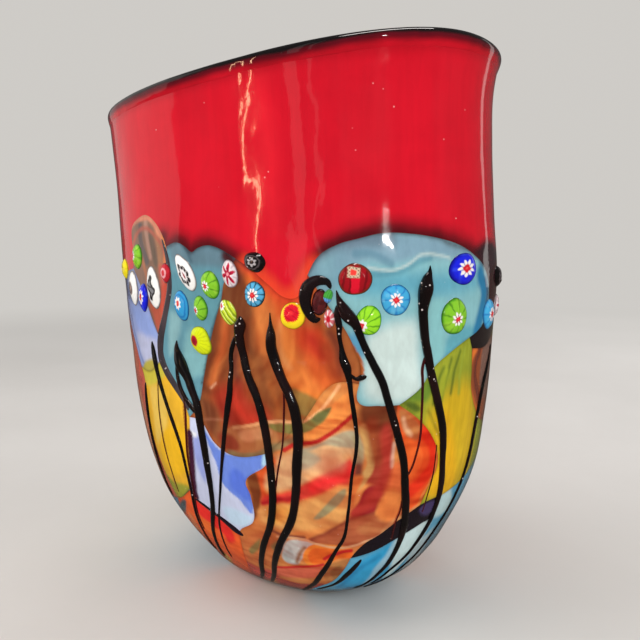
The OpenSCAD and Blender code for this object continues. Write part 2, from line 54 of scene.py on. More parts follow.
def leans(c):
    x, y = PROFILE[:, 0], PROFILE[:, c]
    s = np.diff(y) / np.diff(x)
    m = np.empty(len(x))
    m[0], m[-1] = s[0], s[-1]
    g = np.diff(x)
    m[1:-1] = (s[:-1] * g[1:] + s[1:] * g[:-1]) / (g[1:] + g[:-1])
    return m


LEAN = {1: leans(1), 2: leans(2)}


def smooth(c, w):
    x, y, m = PROFILE[:, 0], PROFILE[:, c], LEAN[c]
    i = np.clip(np.searchsorted(x, w, side="right") - 1, 0, len(x) - 2)
    g = x[i + 1] - x[i]
    s = (w - x[i]) / g
    return ((1 + 2 * s) * (1 - s) ** 2 * y[i] + s * (1 - s) ** 2 * g * m[i]
            + s * s * (3 - 2 * s) * y[i + 1] + s * s * (s - 1) * g * m[i + 1])


def surf(t, h):
    """Points of the wall (mm) at angles t (degrees) and heights h (mm)."""
    t, h = np.broadcast_arrays(np.asarray(t, float), np.asarray(h, float))
    w = h / 305.0
    a = np.radians(t)
    r = smooth(1, w)
    ratio = 0.768 + (0.628 - 0.768) * np.clip(w / 0.5, 0, 1)
    k = SQUARE
    return np.stack([
        smooth(2, w) + r * ((1 + k) * np.cos(a) - k * np.cos(3 * a)),
        r * ratio * ((1 + k) * np.sin(a) + k * np.sin(3 * a)),
        w * (HEIGHT + SLOPE * np.cos(a))], -1)


def unit(v):
    return v / np.maximum(np.linalg.norm(v, axis=-1, keepdims=True), 1e-12)


def normal(t, h):
    h = np.asarray(h, float)
    a = surf(t + 0.2, h) - surf(t - 0.2, h)
    lo = np.maximum(h - 0.6, 0)
    b = surf(t, lo + 1.2) - surf(t, lo)
    return unit(np.cross(a, b))


# ---------------------------------------------------------------- noise
def _hash(x, y, z, seed):
    with np.errstate(over="ignore"):
        n = (x.astype(np.uint32) * np.uint32(374761393) + y.astype(np.uint32) * np.uint32(668265263)
             + z.astype(np.uint32) * np.uint32(2246822519) + np.uint32(seed * 3266489917 & 0xFFFFFFFF))
        n = (n ^ (n >> np.uint32(13))) * np.uint32(1274126177)
        n = n ^ (n >> np.uint32(16))
        n = (n * np.uint32(2654435761)) ^ (n >> np.uint32(15))
    return n.astype(np.float64) / 4294967295.0


def noise(p, scale, seed=1):
    """Smooth noise in -1..1 of points p (mm); scale is the size of its blobs in mm, one number or three."""
    q = np.asarray(p, float) / np.asarray(scale, float) + 1000.0
    i = np.floor(q).astype(np.int64)
    f = q - i
    f = f * f * f * (f * (f * 6 - 15) + 10)
    out = 0
    for dx in (0, 1):
        wx = f[..., 0] if dx else 1 - f[..., 0]
        for dy in (0, 1):
            wy = f[..., 1] if dy else 1 - f[..., 1]
            for dz in (0, 1):
                wz = f[..., 2] if dz else 1 - f[..., 2]
                out = out + wx * wy * wz * _hash(i[..., 0] + dx, i[..., 1] + dy, i[..., 2] + dz, seed)
    return out * 2 - 1


def fbm(p, scale, seed=1, octaves=3):
    out, amp, tot = 0, 1.0, 0
    for o in range(octaves):
        out = out + amp * noise(p, np.asarray(scale, float) / 2 ** o, seed + 17 * o)
        tot += amp
        amp *= 0.5
    return out / tot


def ease(x, a, b):
    s = np.clip((x - a) / (b - a), 0, 1)
    return s * s * (3 - 2 * s)


def bell(t, t0, wt):
    d = (t - t0 + 180) % 360 - 180
    return np.exp(-(d / wt) ** 2)


def relief(t, h):
    """The slow hand-made unevenness of the wall, in mm, shared by everything that lies on it."""
    p = surf(t, h)
    fade = ease(h, 4, 40) * (1 - ease(h, 282, 300))
    r = 0.55 * noise(p, (70, 70, 110), 3) + 0.22 * noise(p, (26, 26, 60), 5)
    band = np.exp(-((h - 190) / 32) ** 2)
    r = r + band * (0.32 * noise(p, (17, 17, 17), 8))
    # folds of the thick glass that run up from between the big blue panels
    r = r + 1.1 * bell(t, -79, 6.5) * np.exp(-((h - 205) / 26) ** 2)
    r = r + 0.55 * bell(t, -83 + 0.03 * (h - 240), 3.6) * ease(h, 190, 215) * (1 - ease(h, 262, 290))
    r = r + 0.45 * bell(t, -56, 5) * ease(h, 215, 240) * (1 - ease(h, 270, 292))
    # the round tops of the blue panels sit a touch proud
    r = r + 0.35 * bell(t, -38, 24) * np.exp(-((h - 200) / 14) ** 2)
    r = r + 0.8 * bell(t, -95, 10) * np.exp(-((h - 203) / 12) ** 2)
    r = r + 0.8 * bell(t, 84, 20) * np.exp(-((h - 202) / 13) ** 2)
    r = r + 0.8 * bell(t, 10, 9) * np.exp(-((h - 192) / 18) ** 2)
    return r * fade


def at(t, h, o=0.0):
    """A point o mm out from the uneven wall."""
    return surf(t, h) + (relief(t, h) + o)[..., None] * normal(t, h)


def at_normal(t, h):
    h = np.asarray(h, float)
    z = np.zeros_like(h)
    lo = np.maximum(h - 0.8, 0)
    return unit(np.cross(at(t + 0.4, h, z) - at(t - 0.4, h, z), at(t, lo + 1.6, z) - at(t, lo, z)))


# flat coordinates for painting: u = mm around, v = mm up along the wall
_hh = np.linspace(0, 306, 400)
_side = smooth(1, _hh / 305) * (0.768 + (0.628 - 0.768) * np.clip(_hh / 305 / 0.5, 0, 1))
_vv = np.concatenate([[0], np.cumsum(np.hypot(np.diff(_hh), np.diff(_side)))])


def up_mm(h):
    return np.interp(h, _hh, _vv)


def around_mm(h):
    return smooth(1, np.asarray(h, float) / 305) * math.pi / 180 * 1.0

# ---------------------------------------------------------------- outlines [angle, height]
SKY = [[-156, 203], [-145, 201], [-134, 201], [-125, 203], [-124, 215], [-123, 228], [-118, 233], [-114, 234],
    [-110, 229], [-107, 220], [-106, 214], [-102, 216], [-99, 213], [-97, 210], [-95, 212], [-92, 213],
    [-90, 212], [-87, 209], [-84, 205], [-80, 199], [-76, 191], [-72, 184], [-69, 184], [-66, 195],
    [-63, 204], [-58, 209], [-53, 211], [-46, 213], [-38, 212], [-28, 209], [-19, 205], [-12, 200],
    [-4, 192], [-1.5, 185], [-1, 174], [4, 173], [8, 177], [14, 184], [20, 193], [28, 200], [36, 204],
    [44, 203], [50, 197], [54, 190], [58, 200], [64, 208], [74, 213], [86, 214], [98, 211], [106, 204],
    [111, 194], [116, 203], [122, 212], [130, 216], [138, 213], [144, 204], [148, 194], [154, 203],
    [162, 209], [172, 211], [182, 209], [192, 205]]
PANELS = {
    "brown_lobe": [[-125, 203], [-124, 215], [-123, 228], [-118, 233], [-114, 234], [-110, 229], [-107, 220], [-106, 214],
        [-105, 200], [-106, 188], [-108, 174], [-112, 158], [-115, 170], [-117, 179], [-121, 193]],
    "periwinkle_panel": [[-156, 203], [-145, 201], [-134, 201], [-125, 203], [-121, 193], [-117, 179], [-115, 170],
        [-112, 158], [-114, 145], [-120, 138], [-127, 140], [-131, 152], [-136, 168], [-142, 182], [-150, 192]],
    "terracotta_strip": [[-156, 203], [-150, 192], [-142, 182], [-136, 168], [-131, 152], [-127, 140], [-125, 132],
        [-126, 115], [-126, 99], [-124, 71], [-121, 56], [-128, 54], [-136, 60], [-142, 85], [-147, 110], [-153, 140],
        [-160, 170], [-166, 190], [-168, 205]],
    "yellow_panel": [[-127, 140], [-120, 138], [-114, 145], [-110, 138], [-106, 131], [-102, 115], [-104, 92], [-109, 67],
        [-115, 60], [-121, 56], [-124, 71], [-126, 99], [-126, 115], [-125, 132]],
    "left_blue_panel": [[-106, 214], [-102, 216], [-99, 213], [-97, 210], [-95, 212], [-92, 213], [-90, 212], [-87, 209],
        [-84, 205], [-88, 192], [-89, 184], [-91, 173], [-94, 155], [-96, 138], [-98, 124], [-102, 115], [-106, 131],
        [-110, 138], [-114, 145], [-112, 158], [-108, 174], [-106, 188], [-105, 200]],
    "lavender_panel": [[-102, 115], [-98, 114], [-94, 103], [-90, 98], [-86, 97], [-78, 101], [-78, 96], [-85, 83],
        [-84, 75], [-84, 59], [-90, 50], [-91, 46], [-94, 53], [-101, 57], [-109, 67], [-104, 92]],
    "orange_low_panel": [[-109, 67], [-101, 57], [-94, 53], [-91, 46], [-93, 35], [-96, 22], [-98, 13], [-98, 6.2],
        [-110, 6.2], [-122, 6.2], [-134, 6.2], [-132, 25], [-126, 45], [-121, 56], [-115, 60]],
    "amber_blob": [[-84, 205], [-80, 199], [-76, 191], [-72, 184], [-69, 184], [-66, 195], [-62, 182], [-56, 164],
        [-54, 155], [-53, 148], [-53, 140], [-60, 140], [-68, 120], [-78, 101], [-86, 97], [-90, 98], [-94, 103],
        [-98, 114], [-102, 115], [-98, 124], [-96, 138], [-94, 155], [-91, 173], [-89, 184], [-88, 192]],
    "marbled_swirl": [[-78, 101], [-68, 120], [-60, 140], [-53, 140], [-53, 131], [-47, 129], [-41, 129], [-34, 121],
        [-29, 113], [-25, 103], [-24, 94], [-26, 85], [-28, 73], [-36, 65], [-41, 58], [-46, 52], [-50, 42], [-54, 26],
        [-62, 13], [-64, 6.2], [-75, 6.2], [-86, 6.2], [-98, 6.2], [-98, 13], [-96, 22], [-93, 35], [-91, 46],
        [-90, 50], [-84, 59], [-84, 75], [-85, 83], [-78, 96]],
    "blue_dome": [[-66, 195], [-63, 204], [-58, 209], [-53, 211], [-46, 213], [-38, 212], [-28, 209], [-19, 205],
        [-12, 200], [-4, 192], [-1.5, 185], [-1, 174], [-5, 165], [-14, 159], [-22, 154], [-30, 146], [-34, 137],
        [-38, 132], [-41, 129], [-47, 129], [-53, 131], [-53, 140], [-53, 148], [-54, 155], [-56, 164], [-62, 182]],
    "dark_wedge": [[-1, 174], [-5, 165], [-14, 159], [-12, 153], [-2, 152], [6, 156], [8, 166], [4, 173]],
    "green_yellow_panel": [[-41, 129], [-38, 132], [-34, 137], [-30, 146], [-22, 154], [-14, 159], [-12, 153], [-11, 142],
        [-10, 131], [-1, 114], [12, 107], [16, 92], [-2, 81], [-18, 75], [-22, 75], [-28, 73], [-26, 85], [-24, 94],
        [-25, 103], [-29, 113], [-34, 121]],
    "brown_oval": [[-12, 153], [-2, 152], [6, 156], [13, 156], [18, 150], [21, 136], [19, 120], [12, 107], [-1, 114],
        [-10, 131], [-11, 142]],
    "dark_bar": [[-18, 75], [-22, 75], [-28, 73], [-36, 65], [-41, 58], [-46, 52], [-50, 42], [-42, 46], [-32, 54],
        [-23, 60], [-19, 62]],
    "light_blue_low": [[16, 92], [-2, 81], [-18, 75], [-19, 62], [-23, 60], [-32, 54], [-42, 46], [-50, 42], [-54, 26],
        [-62, 13], [-64, 6.2], [-50, 6.2], [-36, 6.2], [-22, 6.2], [-8, 6.2], [6, 6.2], [20, 6.2], [20, 30], [20, 60]],
    "right_end_lime": [[4, 173], [8, 177], [14, 184], [20, 193], [28, 200], [36, 204], [44, 203], [50, 197], [54, 190],
        [55, 175], [54, 155], [50, 135], [44, 118], [36, 108], [28, 104], [12, 107], [19, 120], [21, 136], [18, 150],
        [13, 156], [6, 156], [8, 166]],
    "back_blue_dome": [[54, 190], [58, 200], [64, 208], [74, 213], [86, 214], [98, 211], [106, 204], [111, 194],
        [110, 175], [105, 155], [97, 138], [88, 127], [78, 121], [66, 122], [57, 128], [50, 135], [54, 155], [55, 175]],
    "back_coral_swirl": [[16, 92], [12, 107], [28, 104], [36, 108], [44, 118], [50, 135], [57, 128], [66, 122],
        [78, 121], [84, 104], [86, 84], [80, 62], [74, 40], [72, 22], [72, 6.2], [60, 6.2], [46, 6.2], [33, 6.2],
        [20, 6.2], [20, 30], [20, 60]],
    "back_lavender": [[78, 121], [88, 127], [97, 138], [102, 128], [106, 112], [106, 92], [100, 74], [90, 64], [80, 62],
        [86, 84], [84, 104]],
    "back_brown_blob": [[111, 194], [116, 203], [122, 212], [130, 216], [138, 213], [144, 204], [148, 194], [147, 175],
        [143, 155], [138, 135], [136, 112], [133, 92], [125, 78], [112, 72], [100, 74], [106, 92], [106, 112],
        [102, 128], [97, 138], [105, 155], [110, 175]],
    "back_orange_low": [[80, 62], [90, 64], [100, 74], [112, 72], [125, 78], [133, 92], [140, 70], [146, 50], [150, 30],
        [152, 6.2], [138, 6.2], [124, 6.2], [110, 6.2], [96, 6.2], [84, 6.2], [72, 6.2], [72, 22], [74, 40]],
    "back_yellow": [[138, 135], [150, 125], [166, 118], [182, 118], [196, 126], [207, 140], [213, 110], [218, 85],
        [224, 60], [214, 52], [200, 50], [186, 50], [172, 52], [160, 50], [146, 50], [140, 70], [133, 92], [136, 112]],
    "left_back_blue": [[192, 205], [194, 190], [200, 170], [207, 140], [196, 126], [182, 118], [166, 118], [150, 125],
        [138, 135], [143, 155], [147, 175], [148, 194], [154, 203], [162, 209], [172, 211], [182, 209]],
    "left_back_low": [[232, 54], [239, 56], [234, 45], [228, 25], [226, 6.2], [210, 6.2], [196, 6.2], [182, 6.2],
        [166, 6.2], [152, 6.2], [150, 30], [146, 50], [160, 50], [172, 52], [186, 50], [200, 50], [214, 52], [224, 60]],
}

# ---------------------------------------------------------------- strokes
# ("P", colour, soft edge mm, 0, strength, outline) fills a shape; ("L", colour, soft mm, width mm, strength, path) draws a line
SWIRL = [
    ('P', (228, 170, 120), 4.8, 0, 1, [[-77, 97.5], [-68.5, 105.5], [-54.5, 115.5], [-53.5, 101], [-64, 91], [-75.5, 81], [-80.5, 84], [-79.5, 92]]),
    ('P', (178, 152, 122), 1.9, 0, 1, [[-68, 105], [-63, 109], [-58, 114], [-53.5, 115.5], [-53, 107.5], [-57.5, 107], [-62, 108], [-65.5, 105]]),
    ('P', (186, 164, 134), 2.6, 0, 1, [[-70.5, 97.5], [-68.5, 105], [-65.5, 104], [-63, 101], [-65.5, 97], [-69, 94.5]]),
    ('P', (232, 150, 92), 4.0, 0, 0.8, [[-68.5, 93.5], [-63, 98.5], [-56, 103.5], [-53.5, 101.5], [-60, 95.5], [-65.5, 90]]),
    ('L', (222, 88, 40), 3.8, 6, 1, [[-77, 96.5], [-79.5, 90.5], [-81, 84], [-80.5, 78], [-79, 74.5]]),
    ('P', (125, 62, 30), 2.4, 0, 1, [[-85, 84], [-81.5, 89.5], [-81, 83], [-81, 74], [-83, 63], [-85, 60.5], [-84, 73.5]]),
    ('P', (222, 60, 48), 3.5, 0, 1, [[-80.5, 75.5], [-74.5, 80], [-69.5, 85.5], [-64, 92], [-58, 98], [-54, 101], [-53.5, 89], [-58, 87], [-62, 82.5], [-69.5, 77], [-76, 73], [-80, 71]]),
    ('L', (238, 46, 46), 5.0, 5, 1, [[-65.5, 85], [-60.5, 90], [-54, 95]]),
    ('L', (178, 30, 35), 2.5, 2.5, 1, [[-80.5, 72], [-76, 75], [-70, 79]]),
    ('P', (222, 146, 82), 4.0, 0, 1, [[-81, 69], [-69.5, 75], [-55.5, 85.5], [-54, 70], [-59, 63], [-72, 56.5], [-78.5, 58], [-82, 61.5]]),
    ('P', (236, 150, 66), 4.8, 0, 0.8, [[-79, 69], [-72.5, 72], [-72, 65], [-77, 60]]),
    ('P', (158, 134, 96), 1.6, 0, 1, [[-64.5, 67], [-62, 73.5], [-58, 83], [-55.5, 85.5], [-56, 79.5], [-59.5, 72], [-62.5, 67]]),
    ('L', (150, 66, 44), 2.5, 5, 1, [[-64.5, 52], [-58.5, 59], [-53.5, 65.5], [-50.5, 69.5], [-46, 72]]),
    ('P', (176, 84, 52), 3.2, 0, 1, [[-64.5, 51.5], [-58.5, 59.5], [-50.5, 69], [-41.5, 71.5], [-35, 75], [-33, 64], [-41, 56], [-50.5, 51], [-58, 51.5]]),
    ('P', (198, 116, 70), 4.8, 0, 0.8, [[-49.5, 62], [-43.5, 68.5], [-37, 69], [-37, 63], [-44, 57.5]]),
    ('P', (152, 34, 36), 2.2, 0, 1, [[-53, 71], [-51, 78], [-49.5, 85.5], [-45.5, 89], [-41.5, 88], [-41.5, 82], [-44.5, 74], [-49, 70.5]]),
    ('P', (188, 60, 50), 4.0, 0, 0.5, [[-49, 82], [-47, 85.5], [-43, 86], [-44, 80], [-47.5, 75]]),
    ('P', (172, 62, 46), 3.2, 0, 1, [[-47, 116], [-42.5, 115.5], [-42, 104.5], [-42, 94.5], [-43, 88], [-47, 87.5], [-49.5, 89.5], [-48, 96.5], [-47, 105]]),
    ('P', (196, 74, 48), 4.8, 0, 0.7, [[-47, 114.5], [-43, 114.5], [-43.5, 108], [-46, 107]]),
    ('P', (120, 58, 32), 6, 0, 1, [[-52.5, 129.5], [-46, 130.5], [-40.5, 128.5], [-41.5, 121.5], [-42, 114], [-47, 114.5], [-50, 118], [-52.5, 121.5]]),
    ('L', (206, 150, 88), 2.0, 5, 1, [[-51.5, 117.5], [-50, 112], [-49, 104.5], [-48.5, 97], [-50.5, 90.5], [-52.5, 85.5], [-53.5, 80]]),
    ('L', (168, 140, 104), 2.5, 5, 1, [[-53, 112], [-51.5, 105], [-52, 100]]),
    ('L', (120, 52, 40), 3.8, 5, 1, [[-52, 97], [-52, 92]]),
    ('P', (214, 104, 50), 3.2, 0, 1, [[-54.5, 90.5], [-50.5, 92], [-51.5, 85], [-53, 75]]),
    ('P', (226, 104, 56), 3.2, 0, 1, [[-42, 96], [-39, 98.5], [-37.5, 87.5], [-36.5, 82], [-43, 83], [-44, 86]]),
    # painted highlight: a thin pale peach streak
    ('L', (240, 196, 168), 2.5, 2.4, 1, [[-41.5, 108.5], [-42, 102.5], [-42, 97.5]]),
    ('P', (232, 84, 34), 1.3, 0, 1, [[-41.5, 128], [-39, 125.5], [-31.5, 117.5], [-26.5, 108], [-24.5, 99], [-25.5, 88.5], [-27.5, 80], [-31.5, 69.5], [-35.5, 83.5], [-38, 98.5], [-41, 117]]),
    ('P', (188, 108, 60), 3.5, 0, 1, [[-41, 126.5], [-36.5, 122.5], [-32.5, 115], [-33.5, 110], [-37, 111], [-40.5, 119.5]]),
    # painted highlight: a short pale tan streak on the brown top of the lobe
    ('L', (222, 160, 120), 2.5, 2.4, 1, [[-39.5, 121], [-38.5, 116.5], [-36, 112.5]]),
    ('L', (230, 50, 24), 3.8, 8, 1, [[-31, 114], [-27.5, 107.5], [-26, 99.5], [-27, 92], [-31, 86], [-34, 83]]),
    ('P', (240, 104, 44), 3.2, 0, 1, [[-38, 110], [-33, 108], [-30.5, 100], [-33, 91.5], [-36, 91]]),
    ('L', (220, 120, 56), 1.5, 2.2, 1, [[-25, 103], [-24.5, 94], [-26, 85.5], [-28, 80], [-29, 73.5]]),
    ('P', (224, 120, 60), 3.2, 0, 1, [[-43, 84.5], [-37, 83], [-36, 71], [-39.5, 65.5], [-44.5, 72]]),
    ('P', (208, 134, 84), 3.2, 0, 1, [[-34, 70], [-29.5, 73.5], [-31, 67.5], [-36.5, 59.5], [-40.5, 56], [-40, 63]]),
    ('L', (150, 40, 25), 0.8, 0.9, 1, [[-36, 82.5], [-36.5, 75.5], [-36.5, 70], [-37, 62.5]]),
    ('L', (186, 48, 30), 0.8, 0.8, 1, [[-24.5, 85], [-26.5, 82], [-27.5, 77.5]]),
    ('L', (140, 70, 50), 2.0, 2.6, 1, [[-79, 55.5], [-74, 53], [-67.5, 53.5]]),
    ('P', (204, 110, 60), 3.2, 0, 1, [[-95.5, 38], [-87.5, 46.5], [-79, 54], [-75.5, 49.5], [-77.5, 35], [-86.5, 26.5], [-95.5, 28]]),
    ('L', (238, 104, 54), 3.8, 4, 1, [[-97, 37.5], [-96, 33], [-95.5, 28]]),
    ('P', (140, 112, 64), 1.9, 0, 1, [[-90, 36.5], [-84.5, 44], [-82.5, 47], [-84.5, 39.5], [-89.5, 33.5]]),
    ('P', (150, 124, 76), 2.4, 0, 1, [[-79.5, 43], [-77, 48], [-76, 46.5], [-78, 39.5]]),
    ('P', (204, 196, 190), 1.8, 0, 1, [[-75, 45], [-72, 50.5], [-64.5, 51], [-65, 47.5], [-68, 40.5], [-70.5, 34], [-74.5, 33.5], [-76, 37.5]]),
    ('P', (168, 160, 156), 2.4, 0, 0.7, [[-75.5, 39.5], [-72.5, 44.5], [-72, 37], [-74.5, 34]]),
    ('L', (156, 106, 80), 2.5, 2.5, 1, [[-67.5, 46.5], [-69.5, 41], [-70.5, 35.5]]),
    ('P', (240, 104, 36), 2.2, 0, 1, [[-66.5, 43.5], [-62.5, 48.5], [-51.5, 49.5], [-49.5, 43], [-54.5, 42], [-59.5, 37], [-65, 36]]),
    ('L', (247, 134, 48), 1.2, 2.8, 1, [[-60.5, 36], [-65, 35.5], [-67, 38.5], [-67, 42.5], [-64.5, 48], [-58, 50], [-51.5, 49.5]]),
    ('L', (204, 34, 34), 1.2, 2.6, 1, [[-50.5, 48], [-54, 47], [-58, 43.5], [-60, 40.5]]),
    ('P', (206, 82, 70), 3.2, 0, 1, [[-101.5, 25], [-96.5, 25.5], [-91.5, 22.5], [-81, 23], [-83, 14.5], [-97.5, 6], [-106.5, 11.5]]),
    ('P', (226, 104, 76), 2.6, 0, 1, [[-80.5, 26], [-68, 32], [-60.5, 35], [-62.5, 29], [-65, 24.5], [-79, 20.5]]),
    ('L', (208, 44, 40), 1.2, 2.2, 1, [[-80, 27.5], [-74, 30], [-68, 33], [-60.5, 36.5]]),
    ('P', (184, 112, 62), 2.9, 0, 1, [[-59.5, 35], [-49, 43], [-48.5, 36], [-50.5, 28], [-55.5, 20], [-60, 26]]),
    ('P', (140, 88, 50), 2.9, 0, 0.8, [[-57.5, 31], [-54, 36], [-52.5, 29.5], [-55.5, 24]]),
    ('P', (172, 62, 52), 3.2, 0, 1, [[-82.5, 16.5], [-70, 17], [-59.5, 20], [-62, 9.5], [-75, 4.5]]),
    ('L', (146, 58, 32), 5, 8, 0.85, [[-49, 119], [-47.5, 110], [-46.5, 101]]),
    ('L', (178, 50, 40), 5, 7, 0.85, [[-52, 72], [-46.5, 80], [-43.5, 92], [-43.5, 104], [-44.5, 116]]),
    ('L', (226, 162, 118), 1.0, 1.5, 1, [[-76.5, 51.5], [-67.5, 52.5], [-63.5, 50.5], [-53, 50], [-43.5, 55.5], [-35, 64.5], [-30.5, 69]]),
    ("L", (240, 204, 164), 9, 6, 0.4, [[-67, 96.5], [-63, 97], [-58, 98]]),
]
EDGE = [
    ("P", (186, 112, 66), 2, 0, 1, [[-89.5, 112.5], [-80.5, 116], [-76.5, 115.5], [-75, 112.5], [-69.5, 112.5], [-70.5, 108], [-77, 101], [-83, 97.5], [-90, 98]]),
    ("P", (150, 60, 38), 4, 0, 1, [[-92, 109.5], [-87.5, 109.5], [-85.5, 105], [-86.5, 100], [-91.5, 101]]),
    # painted highlight: a pale peach patch at the lower edge of the blob
    ("P", (226, 152, 104), 3, 0, 0.8, [[-85, 112.5], [-78.5, 115], [-76.5, 111.5], [-81, 107.5], [-84.5, 108]]),
    ("L", (146, 112, 74), 2.2, 4, 1, [[-89, 98.5], [-85, 97.5], [-82.5, 98], [-79, 100.5], [-76, 104], [-70.5, 109]]),
    ("P", (232, 130, 62), 2, 0, 1, [[-68, 116.5], [-62.5, 121], [-59.5, 130.5], [-55, 136], [-54.5, 125.5], [-60, 115], [-64, 111], [-68.5, 109]]),
    ("L", (238, 164, 110), 1, 1.8, 1, [[-87, 113.5], [-80.5, 116.5], [-73, 119], [-68, 119.5], [-65.5, 122.5], [-63, 126.5], [-60.5, 133], [-58.5, 139]]),
    ("P", (136, 118, 62), 1.2, 0, 1, [[-77, 116], [-74, 118], [-68.5, 119], [-65.5, 122], [-63.5, 125.5], [-60.5, 127.5], [-62, 121], [-65.5, 116], [-69.5, 113], [-74, 113], [-76, 114]]),
    ("P", (98, 92, 52), 1.6, 0, 0.9, [[-65, 122.5], [-60.5, 127.5], [-62, 122], [-64, 119.5]]),
    ("L", (188, 40, 34), 0.9, 2.4, 1, [[-73, 104], [-70, 107.5], [-67.5, 108.5], [-64, 110], [-60, 114.5], [-57, 119.5], [-54.5, 124.5]]),
]
AMBER = [
    ('P', (236, 124, 50), 7, 0, 1, [[-81, 196], [-75.5, 200.5], [-74, 183.5], [-73, 166], [-69.5, 147.5], [-58, 142.5], [-62.5, 128.5], [-69, 129.5], [-72.5, 147], [-76.5, 166], [-78.5, 175.5], [-81.5, 181]]),
    ('P', (96, 44, 36), 7, 0, 1, [[-86.5, 206.5], [-84, 206], [-82, 194.5], [-82, 185.5], [-83.5, 173], [-86, 177.5], [-84.5, 186.5], [-87.5, 190.5]]),
    ('P', (126, 66, 36), 7, 0, 1, [[-87.5, 190.5], [-81, 185.5], [-81, 177.5], [-82.5, 173], [-86, 174], [-89, 177.5]]),
    ('P', (122, 64, 38), 9, 0, 1, [[-88.5, 188.5], [-82.0, 188.5], [-81.0, 178.0], [-86.0, 165.0], [-87.5, 150.5], [-91.0, 133.0], [-97.0, 130.0], [-95.5, 149.5], [-92.5, 166.5]]),
    ('L', (234, 124, 62), 7, 6, 0.85, [[-87.5, 178.0], [-89.0, 165.0], [-90.5, 152.0], [-93.0, 136.5]]),
    ('L', (104, 50, 48), 6, 4, 0.75, [[-85.5, 158.5], [-86.5, 149.5], [-86.0, 141.5], [-85.0, 136.0]]),
    ('P', (206, 112, 56), 8, 0, 1, [[-78.5, 188.0], [-67.5, 187.5], [-68.5, 177.5], [-71.5, 171.0], [-72.5, 152.0], [-75.5, 150.0], [-78.5, 159.0], [-80.0, 174.5]]),
    ('P', (126, 66, 38), 7, 0, 1, [[-85.0, 188.5], [-79.5, 188.0], [-81.0, 174.5], [-81.0, 159.0], [-79.0, 147.0], [-81.0, 142.5], [-83.0, 154.5], [-84.5, 166.0]]),
    ('L', (232, 128, 64), 5, 6, 0.9, [[-78.0, 183.0], [-78.5, 174.5], [-78.0, 165.5], [-77.5, 157.5]]),
    ('P', (166, 92, 48), 8, 0, 1, [[-83.5, 151.0], [-78.5, 150.5], [-74.5, 139.5], [-71.5, 122.5], [-76.0, 118.0], [-80.5, 124.5], [-82.5, 138.5]]),
    ('L', (206, 114, 54), 5, 3, 0.7, [[-77.0, 139.5], [-75.5, 130.5], [-74.5, 122.0]]),
    ('L', (140, 72, 40), 5, 5, 0.7, [[-79.5, 147.0], [-78.0, 139.5], [-76.5, 127.0]]),
    ('P', (238, 130, 60), 9, 0, 1, [[-74.5, 174.5], [-70.5, 176.0], [-68.5, 152.0], [-63.0, 144.0], [-63.0, 135.0], [-68.0, 136.5], [-71.5, 140.0], [-73.5, 153.5]]),
    ('L', (238, 154, 92), 4, 2.4, 0.7, [[-73.5, 173.0], [-74.0, 163.5], [-73.5, 155.0], [-71.5, 147.5]]),
    ('P', (222, 82, 42), 9, 0, 1, [[-69.5, 169.5], [-63.0, 167.0], [-61.5, 155.5], [-64.0, 150.5], [-68.0, 154.0], [-70.0, 160.5]]),
    ('L', (194, 48, 34), 8, 8, 0.9, [[-66.0, 163.0], [-64.0, 159.0], [-62.5, 155.5]]),
    ('P', (228, 98, 44), 8, 0, 0.9, [[-68.0, 153.0], [-63.0, 151.5], [-59.5, 144.0], [-61.0, 135.0], [-64.5, 140.5]]),
    ('L', (118, 48, 36), 6, 5, 0.85, [[-61.0, 166.5], [-59.5, 159.5], [-59.0, 152.5], [-58.5, 145.5]]),
    ('L', (176, 70, 36), 7, 6, 0.8, [[-62.5, 159.5], [-61.0, 151.5], [-59.0, 142.5]]),
    ('P', (186, 60, 40), 9, 0, 1, [[-91.5, 134.0], [-85.5, 138.0], [-82.0, 131.0], [-78.0, 125.0], [-76.5, 118.0], [-85.5, 114.5], [-90.0, 117.0], [-92.5, 125.5]]),
    ('L', (212, 54, 38), 7, 5, 0.8, [[-87.0, 130.5], [-84.5, 123.5], [-81.0, 118.0]]),
    ('P', (128, 72, 44), 7, 0, 1, [[-97.0, 128.0], [-92.5, 123.5], [-91.5, 116.5], [-92.0, 107.0], [-95.0, 110.0], [-96.5, 119.0]]),
    ('L', (180, 116, 84), 2, 1, 0.7, [[-97.0, 115.5], [-93.0, 117.0], [-89.0, 117.5]]),
    ('P', (150, 84, 50), 7, 0, 1, [[-92.5, 111.5], [-83.5, 114.0], [-76.0, 115.5], [-76.5, 103.5], [-80.5, 98.5], [-87.0, 97.5], [-91.5, 102.0]]),
    ('L', (186, 64, 42), 6, 5, 0.8, [[-89.0, 112.5], [-87.0, 108.5], [-84.0, 106.0]]),
    # painted highlight: a pale peach patch at the lower edge of the blob
    ('L', (222, 146, 96), 5, 5, 0.85, [[-82.5, 111.5], [-79.0, 110.5], [-77.0, 109.0]]),
    ('P', (150, 118, 72), 3, 0, 0.9, [[-77.0, 117.5], [-71.5, 119.0], [-68.0, 119.5], [-70.0, 115.0], [-75.5, 113.5]]),
    ('P', (150, 114, 58), 2.4, 0, 0.9, [[-71.0, 137.0], [-68.0, 136.0], [-64.0, 131.5], [-62.5, 127.5], [-65.5, 123.5], [-69.0, 126.0]]),
    ('L', (92, 92, 48), 2.2, 3.2, 0.9, [[-71.5, 117.0], [-68.0, 119.5], [-64.5, 122.5], [-61.5, 126.5]]),
    ('L', (238, 156, 106), 1.2, 1.6, 0.95, [[-86.0, 113.0], [-82.0, 116.0], [-76.5, 118.0], [-71.5, 119.5], [-68.0, 121.0]]),
    ('L', (246, 190, 150), 1.5, 1, 0.8, [[-93.5, 133.5], [-92.0, 136.5]]),
]
